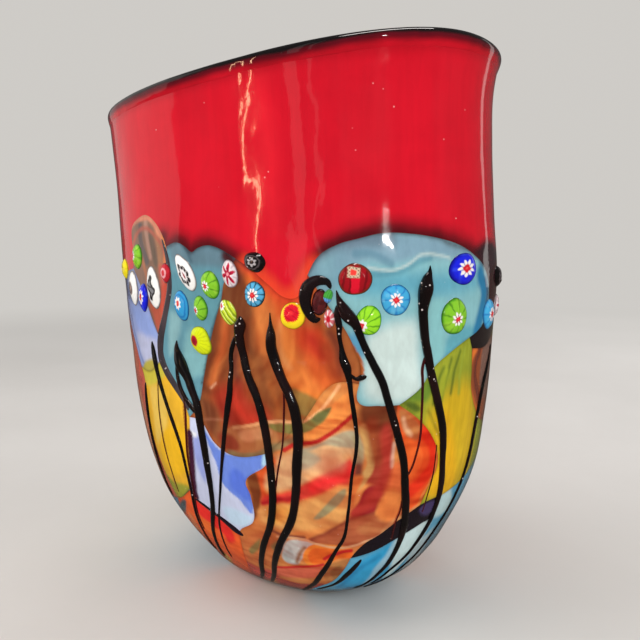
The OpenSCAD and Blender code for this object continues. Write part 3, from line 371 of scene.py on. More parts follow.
DRIP = [
    ("P", (228, 92, 44), 11, 0, 0.95, [[-82, 201], [-77, 186], [-73, 172], [-68, 172], [-64, 186], [-65, 197], [-69, 190], [-72, 189], [-76, 196], [-80, 204]]),
    ("L", (222, 60, 40), 9, 7, 0.95, [[-81.5, 203], [-78, 196], [-74, 188], [-70.5, 184.5], [-68, 188], [-66.5, 195], [-65, 200]]),
    ("P", (206, 16, 38), 9, 0, 1, [[-79.5, 213], [-64.5, 211], [-68, 198], [-70, 190], [-72, 189], [-74, 193], [-77, 201]]),
]
LAVENDER = [
    ("P", (132, 146, 214), 4, 0, 0.8, [[-101.5, 103], [-98, 104], [-98.5, 86], [-100.5, 76], [-102.5, 89.5]]),
    ("P", (104, 132, 214), 1.1, 0, 1, [[-97.5, 113.5], [-94, 102], [-90.5, 98], [-84.5, 97.5], [-78, 100.5], [-79, 93], [-85, 83.5], [-83.5, 74.5], [-84.5, 64], [-88, 71], [-92.5, 79], [-94, 89.5], [-96, 101.5]]),
    ("P", (78, 106, 206), 4, 0, 0.8, [[-89, 89.5], [-85.5, 87.5], [-84, 74.5], [-86.5, 72], [-90, 79.5]]),
    ("L", (176, 214, 236), 1.5, 2, 1, [[-78.5, 99.5], [-79, 94.5]]),
    ("P", (188, 216, 236), 4, 0, 0.8, [[-94.5, 63], [-85, 62], [-87, 54], [-93, 53.5]]),
    ("L", (236, 238, 244), 2, 3, 1, [[-103, 106], [-100.5, 105.5]]),
]
SEAM1 = [
    ("L", (62, 18, 46), 2, 5.5, 1, [[-103, 105], [-103.5, 95.5], [-104.5, 85.5], [-106, 73.5], [-106.5, 64.5]]),
]
YELLOW = [
    ("P", (204, 190, 66), 4, 0, 1, [[-125, 141.5], [-111.5, 146], [-112, 135.5], [-123, 128.5]]),
    ("P", (228, 190, 88), 5, 0, 0.9, [[-121, 128], [-112.5, 127.5], [-114, 105.5], [-123, 91.5], [-121.5, 112]]),
    ("P", (232, 178, 28), 5, 0, 1, [[-115.5, 103], [-105, 107.5], [-106.5, 82.5], [-117.5, 72], [-122, 85]]),
    ("P", (150, 150, 48), 4, 0, 1, [[-127, 73], [-120, 68], [-109, 69.5], [-111, 62.5], [-123.5, 48.5], [-133, 55]]),
    ("L", (150, 106, 52), 0.8, 1, 0.85, [[-115.5, 140], [-116.5, 122], [-117, 104.5], [-117, 87], [-118, 68], [-121, 53.5]]),
    ("L", (116, 40, 30), 0.8, 1, 0.9, [[-104, 126.5], [-104.5, 109], [-104.5, 95.5]]),
    ("P", (70, 52, 50), 2, 0, 1, [[-114, 61], [-108.5, 68], [-110.5, 61.5], [-124.5, 47]]),
]
ORANGELOW = [
    ("P", (228, 40, 34), 3, 0, 1, [[-107.5, 61.5], [-100.5, 57.5], [-95.5, 54.5], [-93.5, 43.5], [-99, 37], [-99.5, 44], [-106.5, 50.5], [-110.5, 57]]),
    ("P", (222, 132, 80), 3, 0, 0.8, [[-117, 49], [-115.5, 42.5], [-123.5, 24], [-125.5, 28], [-122.5, 39]]),
    ("P", (240, 112, 40), 3, 0, 0.8, [[-109, 48.5], [-103, 48], [-106, 38], [-109.5, 39]]),
    ("P", (214, 164, 52), 1.6, 0, 1, [[-113.5, 20.5], [-108.5, 21], [-113, 9], [-115, 9]]),
    ("P", (66, 84, 92), 2, 0, 1, [[-121, 53.5], [-114, 58], [-119.5, 48.5], [-129.5, 42]]),
]
LEFTBLUE = [
    ("P", (118, 152, 168), 6, 0, 1, [[-104.5, 217], [-99, 213.5], [-90, 211.5], [-85, 205], [-85, 199.5], [-94, 202.5], [-103.5, 203]]),
    ("P", (116, 178, 192), 8, 0, 0.9, [[-103.5, 190.5], [-88.5, 192], [-91.5, 173], [-101.5, 172.5]]),
    ("P", (168, 218, 224), 5, 0, 0.9, [[-106.5, 175.5], [-102.5, 172], [-106, 156], [-109, 149], [-108.5, 162]]),
    ("P", (156, 216, 222), 6, 0, 0.9, [[-100.5, 166], [-93.5, 157.5], [-96, 141], [-104, 139.5]]),
    ("L", (84, 36, 42), 4, 6, 1, [[-86.5, 206.5], [-83.5, 197.5], [-84, 192]]),
    ("L", (84, 116, 132), 2, 2.2, 0.8, [[-99, 212.5], [-98, 209], [-97, 205]]),
    ("L", (60, 44, 40), 1.6, 1.8, 0.7, [[-87.5, 193.5], [-89.5, 180], [-92.5, 166.5], [-94, 157.5], [-95.5, 145], [-96.5, 135.5]]),
]
PERI = [
    ("P", (104, 118, 158), 5, 0, 1, [[-138.5, 195], [-125.5, 202], [-121.5, 181.5], [-130.5, 181]]),
    ("P", (140, 160, 216), 6, 0, 1, [[-131.5, 177.5], [-118.5, 175], [-114, 161.5], [-124.5, 163.5]]),
    ("P", (182, 186, 216), 6, 0, 1, [[-127.5, 160], [-114, 158], [-113, 146.5], [-123.5, 144.5]]),
    ("P", (186, 172, 72), 3, 0, 1, [[-125, 141.5], [-118, 146.5], [-114, 142], [-113.5, 132.5], [-125.5, 129.5]]),
    ("L", (96, 110, 160), 1.6, 2, 0.6, [[-132.5, 172.5], [-129, 154], [-124.5, 143]]),
]
LOBE = [
    ("L", (88, 76, 74), 2.4, 5, 1, [[-117.5, 227.5], [-118, 218], [-115.5, 206.5]]),
    ("L", (172, 130, 112), 2.4, 4, 0.9, [[-114.5, 229.5], [-114.5, 220.5], [-113.5, 209]]),
    ("L", (100, 80, 66), 2.4, 5, 1, [[-112.5, 224.5], [-112, 215], [-111, 205]]),
    ("L", (158, 110, 78), 2.4, 4, 0.9, [[-110, 222.5], [-109, 213.5], [-109, 203.5]]),
    ("P", (190, 80, 64), 4, 0, 1, [[-109.5, 203.5], [-105, 201], [-106, 188], [-107.5, 178.5], [-111.5, 162.5], [-114.5, 175], [-111, 181.5], [-109.5, 190.5]]),
    ("P", (178, 86, 66), 5, 0, 1, [[-116.5, 181.5], [-110.5, 176.5], [-111.5, 162.5], [-114, 171]]),
    ("L", (206, 128, 98), 2, 5, 1, [[-124.5, 216.5], [-125.5, 223], [-123, 229.5], [-119, 232.5], [-114, 233], [-110.5, 230], [-108.5, 224], [-106.5, 219.5]]),
    ("L", (214, 128, 68), 2.2, 5, 1, [[-106.5, 220.5], [-106, 213], [-106.5, 206]]),
    ("L", (170, 100, 64), 2, 3, 0.8, [[-124.5, 217.5], [-119, 209.5], [-116.5, 200], [-115.5, 189.5]]),
]
DOME = [
    ("P", (140, 178, 198), 8, 0, 1, [[-59, 204.5], [-53, 211.5], [-40.5, 212], [-25, 208.5], [-11.5, 199.5], [-30, 200], [-41, 198], [-50.5, 198], [-59, 195.5]]),
    ("P", (112, 186, 208), 10, 0, 1, [[-57.5, 195], [-37.5, 193], [-15.5, 192], [-12, 184], [-30, 181.5], [-47.5, 183], [-58, 188]]),
    # painted shade: a soft grey-blue band along the upper-left edge of the dome
    ("L", (112, 134, 152), 8, 7, 0.9, [[-65, 197], [-63, 203], [-58.5, 206.5], [-51, 209], [-44, 210]]),
    ("P", (128, 168, 186), 9, 0, 0.8, [[-66, 196], [-60, 203], [-56, 204], [-57, 192], [-60, 184], [-65, 186]]),
    ("P", (222, 242, 238), 10, 0, 1, [[-50.5, 165.5], [-37.5, 170.5], [-35, 151.5], [-34, 130.5], [-50, 132], [-52, 150]]),
    ("P", (150, 214, 217), 6, 0, 0.9, [[-31.5, 178.5], [-26, 178], [-25.5, 161], [-27.5, 147.5], [-30, 150.5], [-32.5, 168]]),
    ("P", (104, 184, 202), 6, 0, 0.9, [[-23, 163.5], [-11, 164.5], [-14, 154.5], [-25, 150]]),
    ("L", (46, 136, 184), 6, 11, 1, [[-8.5, 190], [-5.5, 181], [-7, 171], [-9.5, 162.5]]),
    ("L", (26, 70, 120), 3, 4, 0.8, [[-4, 187.5], [-2.5, 179.5], [-4.5, 169.5]]),
    ("P", (104, 176, 214), 6, 0, 1, [[-56, 166], [-53.5, 166], [-52.5, 155.5], [-53.5, 154], [-56.5, 160.5]]),
    ("L", (104, 150, 172), 3, 4, 0.7, [[-53.5, 203], [-48, 202], [-44, 198]]),
    # painted shadow: a soft darker teal line just under the white thread
    ("L", (80, 150, 172), 3, 3, 0.6, [[-49.5, 194], [-42.5, 193.5], [-37.5, 196.5], [-31.5, 199.5]]),
    ("L", (200, 222, 222), 1.3, 1.4, 0.9, [[-50.5, 196.5], [-46.5, 195.5], [-43.5, 195], [-39.5, 197], [-35, 201], [-30.5, 201.5], [-24, 200]]),
    ("P", (150, 66, 34), 1, 0, 1, [[-58.5, 164.5], [-56.5, 161.5], [-54, 155.5], [-52.5, 148.5], [-52.5, 142.5], [-54.5, 142.5], [-57, 149.5], [-58.5, 156.5]]),
    ("P", (112, 48, 44), 2, 0, 1, [[-56.5, 154.5], [-54.5, 151], [-53.5, 145.5], [-54, 144], [-55.5, 148]]),
    ("L", (200, 106, 46), 1, 1.6, 1, [[-58, 163.5], [-56, 161], [-54, 155], [-52.5, 148.5], [-52.5, 143]]),
]
GREEN = [
    ("P", (206, 170, 32), 14, 0, 1, [[-23.5, 132.5], [-12, 135.5], [-3.5, 109.5], [-3, 77], [-33.5, 88], [-31.5, 120]]),
    ("P", (222, 168, 26), 10, 0, 1, [[-26, 114.5], [-21, 120], [-11, 79], [-20, 75.5], [-26.5, 81], [-23.5, 96.5]]),
    ("L", (84, 104, 34), 2.2, 2.4, 0.8, [[-18.5, 152.5], [-20.5, 143.5], [-21.5, 132]]),
    ("L", (150, 164, 52), 2.2, 2.4, 0.8, [[-16, 153], [-17.5, 143], [-17.5, 131]]),
    ("L", (84, 104, 34), 2.2, 2.4, 0.8, [[-22.5, 149], [-24, 140], [-25.5, 129]]),
    ("L", (92, 112, 36), 2.2, 2.4, 0.8, [[-25.5, 145.5], [-27.5, 138], [-29, 128]]),
    ("L", (160, 168, 44), 2.2, 2.4, 0.7, [[-24, 144], [-25, 134], [-26.5, 125]]),
    ("P", (78, 94, 32), 3, 0, 1, [[-40, 129.5], [-36.5, 129.5], [-34, 125.5], [-36, 124], [-39.5, 127.5]]),
    ("P", (100, 130, 44), 4, 0, 1, [[-42, 132.5], [-35.5, 138], [-29, 139.5], [-31.5, 130], [-36.5, 129.5]]),
    ("L", (120, 110, 30), 2, 2, 0.6, [[-31, 124.5], [-26.5, 114.5], [-21, 100.5]]),
]
OVAL = [
    ("L", (216, 112, 46), 2.4, 5, 1, [[-8.5, 153], [-11.5, 148], [-12.5, 139.5], [-11, 130.5], [-6.5, 120], [1.5, 110]]),
    ("L", (112, 50, 36), 3, 5, 0.9, [[-6, 150.5], [-8.5, 143.5], [-7.5, 134.5], [-3.5, 125]]),
    ("P", (122, 92, 82), 4, 0, 0.9, [[-3, 152.5], [7, 155.5], [12, 135.5], [3, 122], [-3.5, 133.5]]),
    ("P", (214, 150, 128), 4, 0, 0.9, [[-23, 135], [-18, 127], [-15.5, 118], [-21.5, 126.5]]),
]
LOWBLUE = [
    ("P", (48, 156, 204), 7, 0, 1, [[-52.5, 20], [-46.5, 39], [-32.5, 52.5], [-28.5, 39], [-31, 23.5], [-39, 12.5]]),
    ("P", (196, 220, 222), 4, 0, 1, [[-33, 53.5], [-30, 60.5], [-18.5, 63], [-17.5, 54], [-20, 41.5], [-24.5, 25.5], [-27, 21.5]]),
    ("P", (170, 190, 196), 4, 0, 1, [[-20.5, 41], [-15, 50], [-8.5, 52], [1.5, 34], [-7, 23], [-13.5, 18]]),
    ("P", (186, 214, 216), 4, 0, 1, [[-19.5, 65.5], [-19, 77], [-14, 79.5], [-7, 64.5], [-13, 59]]),
    ("P", (92, 138, 160), 5, 0, 1, [[-12, 51], [-3, 59], [5.5, 51], [2.5, 34.5], [-4.5, 25.5], [-6, 24]]),
    ("L", (34, 120, 170), 4, 4, 0.6, [[-50.5, 17], [-46.5, 31.5], [-38.5, 42]]),
    ("L", (210, 226, 228), 2, 2, 0.7, [[-24, 19], [-22.5, 34.5], [-18, 47], [-17, 58]]),
    ("L", (186, 208, 212), 4, 6, 0.6, [[-35.5, 19.5], [-35.5, 31.5], [-33.5, 41.5], [-32.5, 50.5]]),
]
BAR = [
    ("P", (66, 54, 96), 3, 0, 0.9, [[-27.5, 70.5], [-22, 74.5], [-18.5, 70.5], [-22.5, 65.5]]),
]
REDEND = [
    ("P", (46, 14, 22), 7, 0, 1, [[-12.5, 201.5], [-4, 207], [4, 207], [11, 203], [15, 195], [14, 184], [8, 176], [-4, 173], [-4, 185.5], [-8, 195]]),
]
# ---------------------------------------------------------------- painting
def lin(c):
    c = np.asarray(c, float) / 255.0
    return np.where(c <= 0.04045, c / 12.92, ((c + 0.055) / 1.055) ** 2.4)


def rounded(pts, closed, per=5):
    p = np.asarray(pts, float)
    n = len(p)
    if n < 3:
        return p
    out = []
    m = n if closed else n - 1
    for i in range(m):
        a = p[(i - 1) % n] if closed or i > 0 else p[0]
        b, c = p[i], p[(i + 1) % n]
        d = p[(i + 2) % n] if closed or i + 2 < n else p[n - 1]
        for k in range(per):
            s = k / per
            out.append(0.5 * (2 * b + s * (c - a) + s * s * (2 * a - 5 * b + 4 * c - d)
                              + s ** 3 * (3 * b - 3 * c + d - a)))
    if not closed:
        out.append(p[-1])
    return np.array(out)


def dist_to_path(q, p, closed):
    """Distance of points q to the path p, both (n, 2) in mm."""
    a = p
    b = np.roll(p, -1, 0) if closed else p[1:]
    a = p if closed else p[:-1]
    best = np.full(len(q), 1e9)
    for k in range(len(a)):
        ab = b[k] - a[k]
        L = max(float(ab @ ab), 1e-9)
        s = np.clip(((q - a[k]) @ ab) / L, 0, 1)
        d = q - a[k] - s[:, None] * ab
        best = np.minimum(best, np.einsum("ij,ij->i", d, d))
    return np.sqrt(best)


def inside(q, p):
    a, b = p, np.roll(p, -1, 0)
    x, y = q[:, 0], q[:, 1]
    out = np.zeros(len(q), bool)
    for k in range(len(a)):
        y0, y1 = a[k, 1], b[k, 1]
        if y0 == y1:
            continue
        c = (y0 > y) != (y1 > y)
        out ^= c & (x < (b[k, 0] - a[k, 0]) * (y - y0) / (y1 - y0) + a[k, 0])
    return out


def local_mm(t, h, t0):
    return np.stack([((np.asarray(t, float) - t0 + 180) % 360 - 180) * around_mm(h), up_mm(h)], -1)


def paint(rgb, t, h, ops, wob):
    """Lays strokes over rgb (n, 3 linear); wob is a small sideways wander in mm (n, 2)."""
    for kind, col, soft, width, strength, pts in ops:
        pts = np.asarray(pts, float)
        t0 = pts[:, 0].mean()
        reach = soft / 2 + width / 2 + 3
        dt = np.abs((t - t0 + 180) % 360 - 180)
        near = (dt < (np.abs(pts[:, 0] - t0).max() + reach / 0.7)) & (h > pts[:, 1].min() - reach) & (h < pts[:, 1].max() + reach)
        if not near.any():
            continue
        q = local_mm(t[near], h[near], t0) + wob[near] * min(1.0, 0.35 + soft / 4)
        p = rounded(local_mm(pts[:, 0], pts[:, 1], t0), kind == "P")
        d = dist_to_path(q, p, kind == "P")
        if kind == "P":
            d = np.where(inside(q, p), -d, d)
        else:
            d = d - width / 2
        m = (1 - ease(d, -soft / 2, soft / 2)) * strength
        rgb[near] += (lin(col) - rgb[near]) * m[:, None]
    return rgb


def marble(p, colours, size, seed, wild=1.0):
    """Swirled glass: bands of the given colours folded through each other."""
    w = np.stack([noise(p, size * 1.3, seed + 1), noise(p, size * 1.3, seed + 2), noise(p, size * 1.3, seed + 3)], -1)
    q = p + w * size * 0.9 * wild
    f = (fbm(q, (size, size, size * 0.8), seed, 3) * 1.25 + 0.5) * (len(colours) - 1)
    f = np.clip(f, 0, len(colours) - 1.001)
    i = f.astype(int)
    s = ease(f - i, 0.22, 0.78)
    c = lin(colours)
    return c[i] * (1 - s[:, None]) + c[i + 1] * s[:, None]


def drift(p, size, seed, amount):
    """Slow brightness drift, a factor around 1."""
    return 1 + amount * fbm(p, size, seed, 3)


# ---------------------------------------------------------------- meshes
def make_mesh(name, verts_mm, tris, quads, loop_normals=None, colour=None):
    """One mesh in metres. tris (n,3), quads (m,4); loop_normals (3n+4m, 3); colour (nv, 3) linear."""
    mesh = bpy.data.meshes.new(name)
    tris = np.asarray(tris, np.int32).reshape(-1, 3)
    quads = np.asarray(quads, np.int32).reshape(-1, 4)
    nv, nt, nq = len(verts_mm), len(tris), len(quads)
    mesh.vertices.add(nv)
    mesh.vertices.foreach_set("co", (np.asarray(verts_mm) / 1000.0).astype(np.float32).ravel())
    mesh.loops.add(nt * 3 + nq * 4)
    mesh.loops.foreach_set("vertex_index", np.concatenate([tris.ravel(), quads.ravel()]))
    mesh.polygons.add(nt + nq)
    starts = np.concatenate([np.arange(nt) * 3, nt * 3 + np.arange(nq) * 4]).astype(np.int32)
    mesh.polygons.foreach_set("loop_start", starts)
    mesh.polygons.foreach_set("use_smooth", np.ones(nt + nq, bool))
    mesh.update(calc_edges=True)
    if colour is not None:
        a = mesh.color_attributes.new("paint", "FLOAT_COLOR", "POINT")
        a.data.foreach_set("color", np.concatenate([np.clip(colour, 0, 1), np.ones((nv, 1))], 1).astype(np.float32).ravel())
    mesh.validate()
    if loop_normals is not None:
        mesh.normals_split_custom_set(np.asarray(loop_normals, np.float32))
    obj = bpy.data.objects.new(name, mesh)
    bpy.context.scene.collection.objects.link(obj)
    return obj


def place(obj, node, mats):
    for m in mats if isinstance(mats, (list, tuple)) else [mats]:
        obj.data.materials.append(m)
    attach(obj, "root")
    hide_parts(node)
    return obj


# shared boundaries: every panel edge is drawn once, as a smooth curve both neighbours use
def key(p):
    return (round(float(p[0]) % 360, 3) % 360, round(float(p[1]), 3))


NEIGHBOURS = {}


def chain(pts, closed):
    for a, b in zip(pts, pts[1:] + pts[:1] if closed else pts[1:]):
        NEIGHBOURS.setdefault(key(a), {})[key(b)] = (b[0] - a[0], b[1] - a[1])
        NEIGHBOURS.setdefault(key(b), {})[key(a)] = (a[0] - b[0], a[1] - b[1])


for _o in PANELS.values():
    chain(_o, True)
chain(SKY + [[204, 203]], False)
STRETCH = np.array([2.0, 1.0])     # degrees to mm, roughly


def heading(v, frm, to):
    """Unit direction of the curve at vertex v, going on to neighbour to, or None at a junction. frm is not used."""
    nb = NEIGHBOURS[v]
    others = [k for k in nb if k != to]
    if len(nb) != 2:
        return None
    a = -np.array(nb[others[0]]) * STRETCH
    b = np.array(nb[to]) * STRETCH
    a, b = a / np.linalg.norm(a), b / np.linalg.norm(b)
    if a @ b < 0.1:
        return b
    d = a + b
    return d / np.linalg.norm(d)


CURVES = {}


def curve_between(a, b, step=1.1):
    """Points from a to b, a first, b left out."""
    ka, kb = key(a), key(b)
    swap = ka > kb
    k2 = (kb, ka) if swap else (ka, kb)
    if k2 not in CURVES:
        v = np.array(NEIGHBOURS[k2[0]][k2[1]]) * STRETCH
        L = np.linalg.norm(v)
        d0, d1 = heading(k2[0], None, k2[1]), heading(k2[1], None, k2[0])
        T1 = None if d1 is None else -d1 * L
        T0 = None if d0 is None else d0 * L
        if T0 is None and T1 is None:
            T0 = T1 = v
        elif T0 is None:
            T0 = 1.5 * v - 0.5 * T1
        elif T1 is None:
            T1 = 1.5 * v - 0.5 * T0
        n = max(2, int(math.ceil(L / step)))
        s = np.linspace(0, 1, n + 1)[:, None]
        p = (s ** 3 - 2 * s ** 2 + s) * T0 + (3 * s ** 2 - 2 * s ** 3) * v + (s ** 3 - s ** 2) * T1
        CURVES[k2] = p / STRETCH
    p = CURVES[k2]
    if swap:
        p = (p - p[-1])[::-1]
    return (np.array(a, float) + p)[:-1]


def smooth_outline(pts, closed=True):
    out = [curve_between(a, b) for a, b in zip(pts, pts[1:] + pts[:1] if closed else pts[1:])]
    o = np.concatenate(out)
    if not closed:
        o = np.concatenate([o, [pts[-1]]])
    o[:, 1] = np.where(o[:, 1] < 13, FOOT + (o[:, 1] - 6.2) * (13 - FOOT) / 6.8, o[:, 1])
    return o


def grid_points(lo, hi, step):
    pts = []
    for i, y in enumerate(np.arange(lo[1] + step * 0.5, hi[1], step * 0.866)):
        x = np.arange(lo[0] + (step / 2 if i % 2 else 0), hi[0], step)
        pts.append(np.stack([x, np.full(len(x), y)], 1))
    return np.concatenate(pts)


def fill(boundary, step, near=None):
    """Triangles over a closed outline in [angle, height]. Returns (points, triangles, number on the boundary, distance to edge)."""
    b = np.asarray(boundary, float)
    flat = b * STRETCH
    area = 0.5 * np.sum(flat[:, 0] * np.roll(flat[:, 1], -1) - np.roll(flat[:, 0], -1) * flat[:, 1])
    if area < 0:
        b, flat = b[::-1], flat[::-1]
    lo, hi = flat.min(0), flat.max(0)
    q = grid_points(lo, hi, step)
    q = q[inside(q, flat)]
    d = dist_to_path(q, flat, True)
    gap = step * 0.55
    if near is not None:
        path, reach, fine = near
        line = path * STRETCH
        q2 = grid_points([lo[0], line[:, 1].min() - reach], [hi[0], line[:, 1].max() + reach], fine)
        q2 = q2[inside(q2, flat)]
        q2 = q2[dist_to_path(q2, line, False) < reach]
        keep = (dist_to_path(q, line, False) >= reach + step * 0.3) & (d > gap)
        q, d = q[keep], d[keep]
        q, d = np.concatenate([q, q2]), np.concatenate([d, dist_to_path(q2, flat, True)])
        gap = fine * 0.55
    q, d = q[d > gap], d[d > gap]
    allp = np.concatenate([flat, q])
    n = len(flat)
    res = delaunay_2d_cdt([tuple(p) for p in allp], [], [list(range(n))], 1, 1e-7, True)
    vc = np.array([tuple(v) for v in res[0]])
    tri = np.array([f for f in res[2] if len(f) == 3], np.int32)
    orig = [o[0] if len(o) else -1 for o in res[3]]
    if len(vc) != len(allp) or -1 in orig:
        raise RuntimeError("an outline crosses itself")
    back = np.array(orig)
    tri = back[tri]
    p, e1, e2 = allp, allp[tri[:, 1]] - allp[tri[:, 0]], allp[tri[:, 2]] - allp[tri[:, 0]]
    ccw = e1[:, 0] * e2[:, 1] - e1[:, 1] * e2[:, 0]
    tri[ccw < 0] = tri[ccw < 0][:, ::-1]
    tri = tri[np.abs(ccw) > 1e-9]
    tri = tri[inside(allp[tri].mean(1), flat)]
    edge = np.concatenate([np.zeros(n), d])
    return allp / STRETCH, tri, n, edge


def panel_piece(outline, step, colour_of, skip=None, near=None):
    """A closed piece of skin glass over an outline; colour_of(t, h, edge, points) gives its paint."""
    p, tri, nb, edge = fill(outline, step, near)
    t, h = p[:, 0], p[:, 1]
    out_n = at_normal(t, h)
    o = at(t, h)
    i = at(t, h, np.full(len(t), -SKIN))
    n = len(p)
    ring = np.arange(nb)
    nxt = np.roll(ring, -1)
    keep = np.ones(nb, bool) if skip is None else ~skip(p[ring], p[nxt])
    q = np.stack([ring[keep], ring[keep] + n, nxt[keep] + n, nxt[keep]], 1)
    verts = np.concatenate([o, i])
    tris = np.concatenate([tri, (tri + n)[:, ::-1]])
    fn = unit(np.cross(verts[q[:, 1]] - verts[q[:, 0]], verts[q[:, 3]] - verts[q[:, 0]]))
    alln = np.concatenate([out_n, -out_n])
    ln = np.concatenate([alln[tris.ravel()], np.repeat(fn, 4, 0)])
    c = colour_of(t, h, edge, o)
    return verts, tris, q, ln, np.concatenate([c, c])

# ---------------------------------------------------------------- materials
def new_material(name):
    m = bpy.data.materials.new(name)
    m.use_nodes = True
    nt = m.node_tree
    b = nt.nodes["Principled BSDF"]
    return m, nt, b


def noise_node(nt, vec, scale, detail=3.0, rough=0.5, distortion=0.0):
    n = nt.nodes.new("ShaderNodeTexNoise")
    n.inputs["Scale"].default_value = scale
    n.inputs["Detail"].default_value = detail
    n.inputs["Roughness"].default_value = rough
    n.inputs["Distortion"].default_value = distortion
    nt.links.new(vec, n.inputs["Vector"])
    return n.outputs[0]


def ramp(nt, fac, a, b, va=0.0, vb=1.0, smooth_=True):
    r = nt.nodes.new("ShaderNodeMapRange")
    r.interpolation_type = "SMOOTHSTEP" if smooth_ else "LINEAR"
    r.inputs["From Min"].default_value = a
    r.inputs["From Max"].default_value = b
    r.inputs["To Min"].default_value = va
    r.inputs["To Max"].default_value = vb
    nt.links.new(fac, r.inputs["Value"])
    return r.outputs["Result"]


def mix_colour(nt, fac, a, b, kind="MIX"):
    m = nt.nodes.new("ShaderNodeMix")
    m.data_type = "RGBA"
    m.blend_type = kind
    for sock, v in ((m.inputs[0], fac), (m.inputs[6], a), (m.inputs[7], b)):
        if isinstance(v, (int, float)):
            sock.default_value = v
        elif isinstance(v, tuple):
            sock.default_value = v
        else:
            nt.links.new(v, sock)
    return m.outputs[2]


def squashed(nt, scale):
    tc = nt.nodes.new("ShaderNodeTexCoord")
    mp = nt.nodes.new("ShaderNodeMapping")
    mp.inputs["Scale"].default_value = scale
    nt.links.new(tc.outputs["Object"], mp.inputs["Vector"])
    return mp.outputs["Vector"]


def glass(name, mottle=0.10, streak=0.06, bubbles=0.5, bump=0.25, wave=0.35, rough=(0.05, 0.12), coat=1.0,
          streak_dir=(1, 1, 0.14), seeds=(165.0, 0.05, 0.085, 0.60), seed_glint_tone=0.45, pits_and_glints_up=None):
    """Glossy coloured glass over the painted colour: mottling, drawn-out streaks, seeds (small bubbles, pitted and
    painted lighter as painted glints) and the soft ripple of blown glass.
    """
    m, nt, b = new_material(name)
    col = nt.nodes.new("ShaderNodeAttribute")
    col.attribute_name = "paint"
    base = col.outputs["Color"]
    obj = squashed(nt, (1, 1, 1))
    long_ = squashed(nt, streak_dir)
    big = noise_node(nt, obj, 34.0, 4.0, 0.55, 0.6)
    f = ramp(nt, big, 0.25, 0.75, 1 - mottle, 1 + mottle)
    fine = noise_node(nt, long_, 260.0, 4.0, 0.6, 0.3)
    g = ramp(nt, fine, 0.3, 0.7, 1 - streak, 1 + streak)
    mul = nt.nodes.new("ShaderNodeMath")
    mul.operation = "MULTIPLY"
    nt.links.new(f, mul.inputs[0])
    nt.links.new(g, mul.inputs[1])
    comb = nt.nodes.new("ShaderNodeCombineColor")
    for k in range(3):
        nt.links.new(mul.outputs[0], comb.inputs[k])
    c = mix_colour(nt, 1.0, base, comb.outputs[0], "MULTIPLY")
    vor = nt.nodes.new("ShaderNodeTexVoronoi")
    vor.inputs["Scale"].default_value = seeds[0]
    vor.inputs["Randomness"].default_value = 1.0
    nt.links.new(obj, vor.inputs["Vector"])
    seed = ramp(nt, vor.outputs["Distance"], seeds[1], seeds[2], 1.0, 0.0)
    pick = noise_node(nt, obj, 61.0, 1.0)
    if pits_and_glints_up is not None:
        # more seeds, and so more pits and painted glints, towards the upper end
        xyz = nt.nodes.new("ShaderNodeSeparateXYZ")
        nt.links.new(obj, xyz.inputs[0])
        up = ramp(nt, xyz.outputs["Z"], pits_and_glints_up[0], pits_and_glints_up[1], 0.0, pits_and_glints_up[2])
        add = nt.nodes.new("ShaderNodeMath")
        add.operation = "ADD"
        nt.links.new(pick, add.inputs[0])
        nt.links.new(up, add.inputs[1])
        pick = add.outputs[0]
    gate = ramp(nt, pick, seeds[3], seeds[3] + 0.06, 0.0, bubbles)
    mm = nt.nodes.new("ShaderNodeMath")
    mm.operation = "MULTIPLY"
    nt.links.new(seed, mm.inputs[0])
    nt.links.new(gate, mm.inputs[1])
    # painted glints: the seeds are mixed towards a pale pink-white, small painted sparkles of light
    light = mix_colour(nt, seed_glint_tone, c, (1.0, 0.88, 0.84, 1.0))
    c = mix_colour(nt, mm.outputs[0], c, light)
    nt.links.new(c, b.inputs["Base Color"])
    rr = ramp(nt, noise_node(nt, obj, 48.0, 3.0), 0.3, 0.7, rough[0], rough[1])
    nt.links.new(rr, b.inputs["Roughness"])
    b.inputs["IOR"].default_value = 1.5
    b.inputs["Coat Weight"].default_value = coat
    b.inputs["Coat Roughness"].default_value = 0.02
    b.inputs["Coat IOR"].default_value = 1.5
    b.inputs["Specular IOR Level"].default_value = 0.25
    # ripple of the blown wall and the tiny pits over seeds
    w1 = noise_node(nt, squashed(nt, (1, 1, 0.5)), 30.0, 2.0, 0.45, 0.4)
    b1 = nt.nodes.new("ShaderNodeBump")
    b1.inputs["Strength"].default_value = wave
    b1.inputs["Distance"].default_value = 0.0016
    nt.links.new(w1, b1.inputs["Height"])
    w2 = noise_node(nt, obj, 150.0, 3.0, 0.5, 0.2)
    b2 = nt.nodes.new("ShaderNodeBump")
    b2.inputs["Strength"].default_value = bump
    b2.inputs["Distance"].default_value = 0.00018
    nt.links.new(w2, b2.inputs["Height"])
    nt.links.new(b1.outputs["Normal"], b2.inputs["Normal"])
    b3 = nt.nodes.new("ShaderNodeBump")
    b3.inputs["Strength"].default_value = 0.5
    b3.inputs["Distance"].default_value = 0.0002
    nt.links.new(mm.outputs[0], b3.inputs["Height"])
    nt.links.new(b2.outputs["Normal"], b3.inputs["Normal"])
    nt.links.new(b3.outputs["Normal"], b.inputs["Normal"])
    nt.links.new(b3.outputs["Normal"], b.inputs["Coat Normal"])
    return m


SKIN_GLASS = {}


def skin_glass(node_name, **kw):
    if node_name not in SKIN_GLASS:
        SKIN_GLASS[node_name] = glass("glass_" + node_name, **kw)
    return SKIN_GLASS[node_name]


# ---------------------------------------------------------------- skin panels
def wander(pts, big=1.2, small=0.4):
    return np.stack([big * noise(pts, 16, 31) + small * noise(pts, 4.5, 33),
                     big * noise(pts, 16, 37) + small * noise(pts, 4.5, 39)], -1)


_a, _b = math.radians(33), math.radians(17)
TURNED = np.array([[math.cos(_a), -math.sin(_a), 0], [math.sin(_a), math.cos(_a), 0], [0, 0, 1]]) @ \
    np.array([[1, 0, 0], [0, math.cos(_b), -math.sin(_b)], [0, math.sin(_b), math.cos(_b)]])


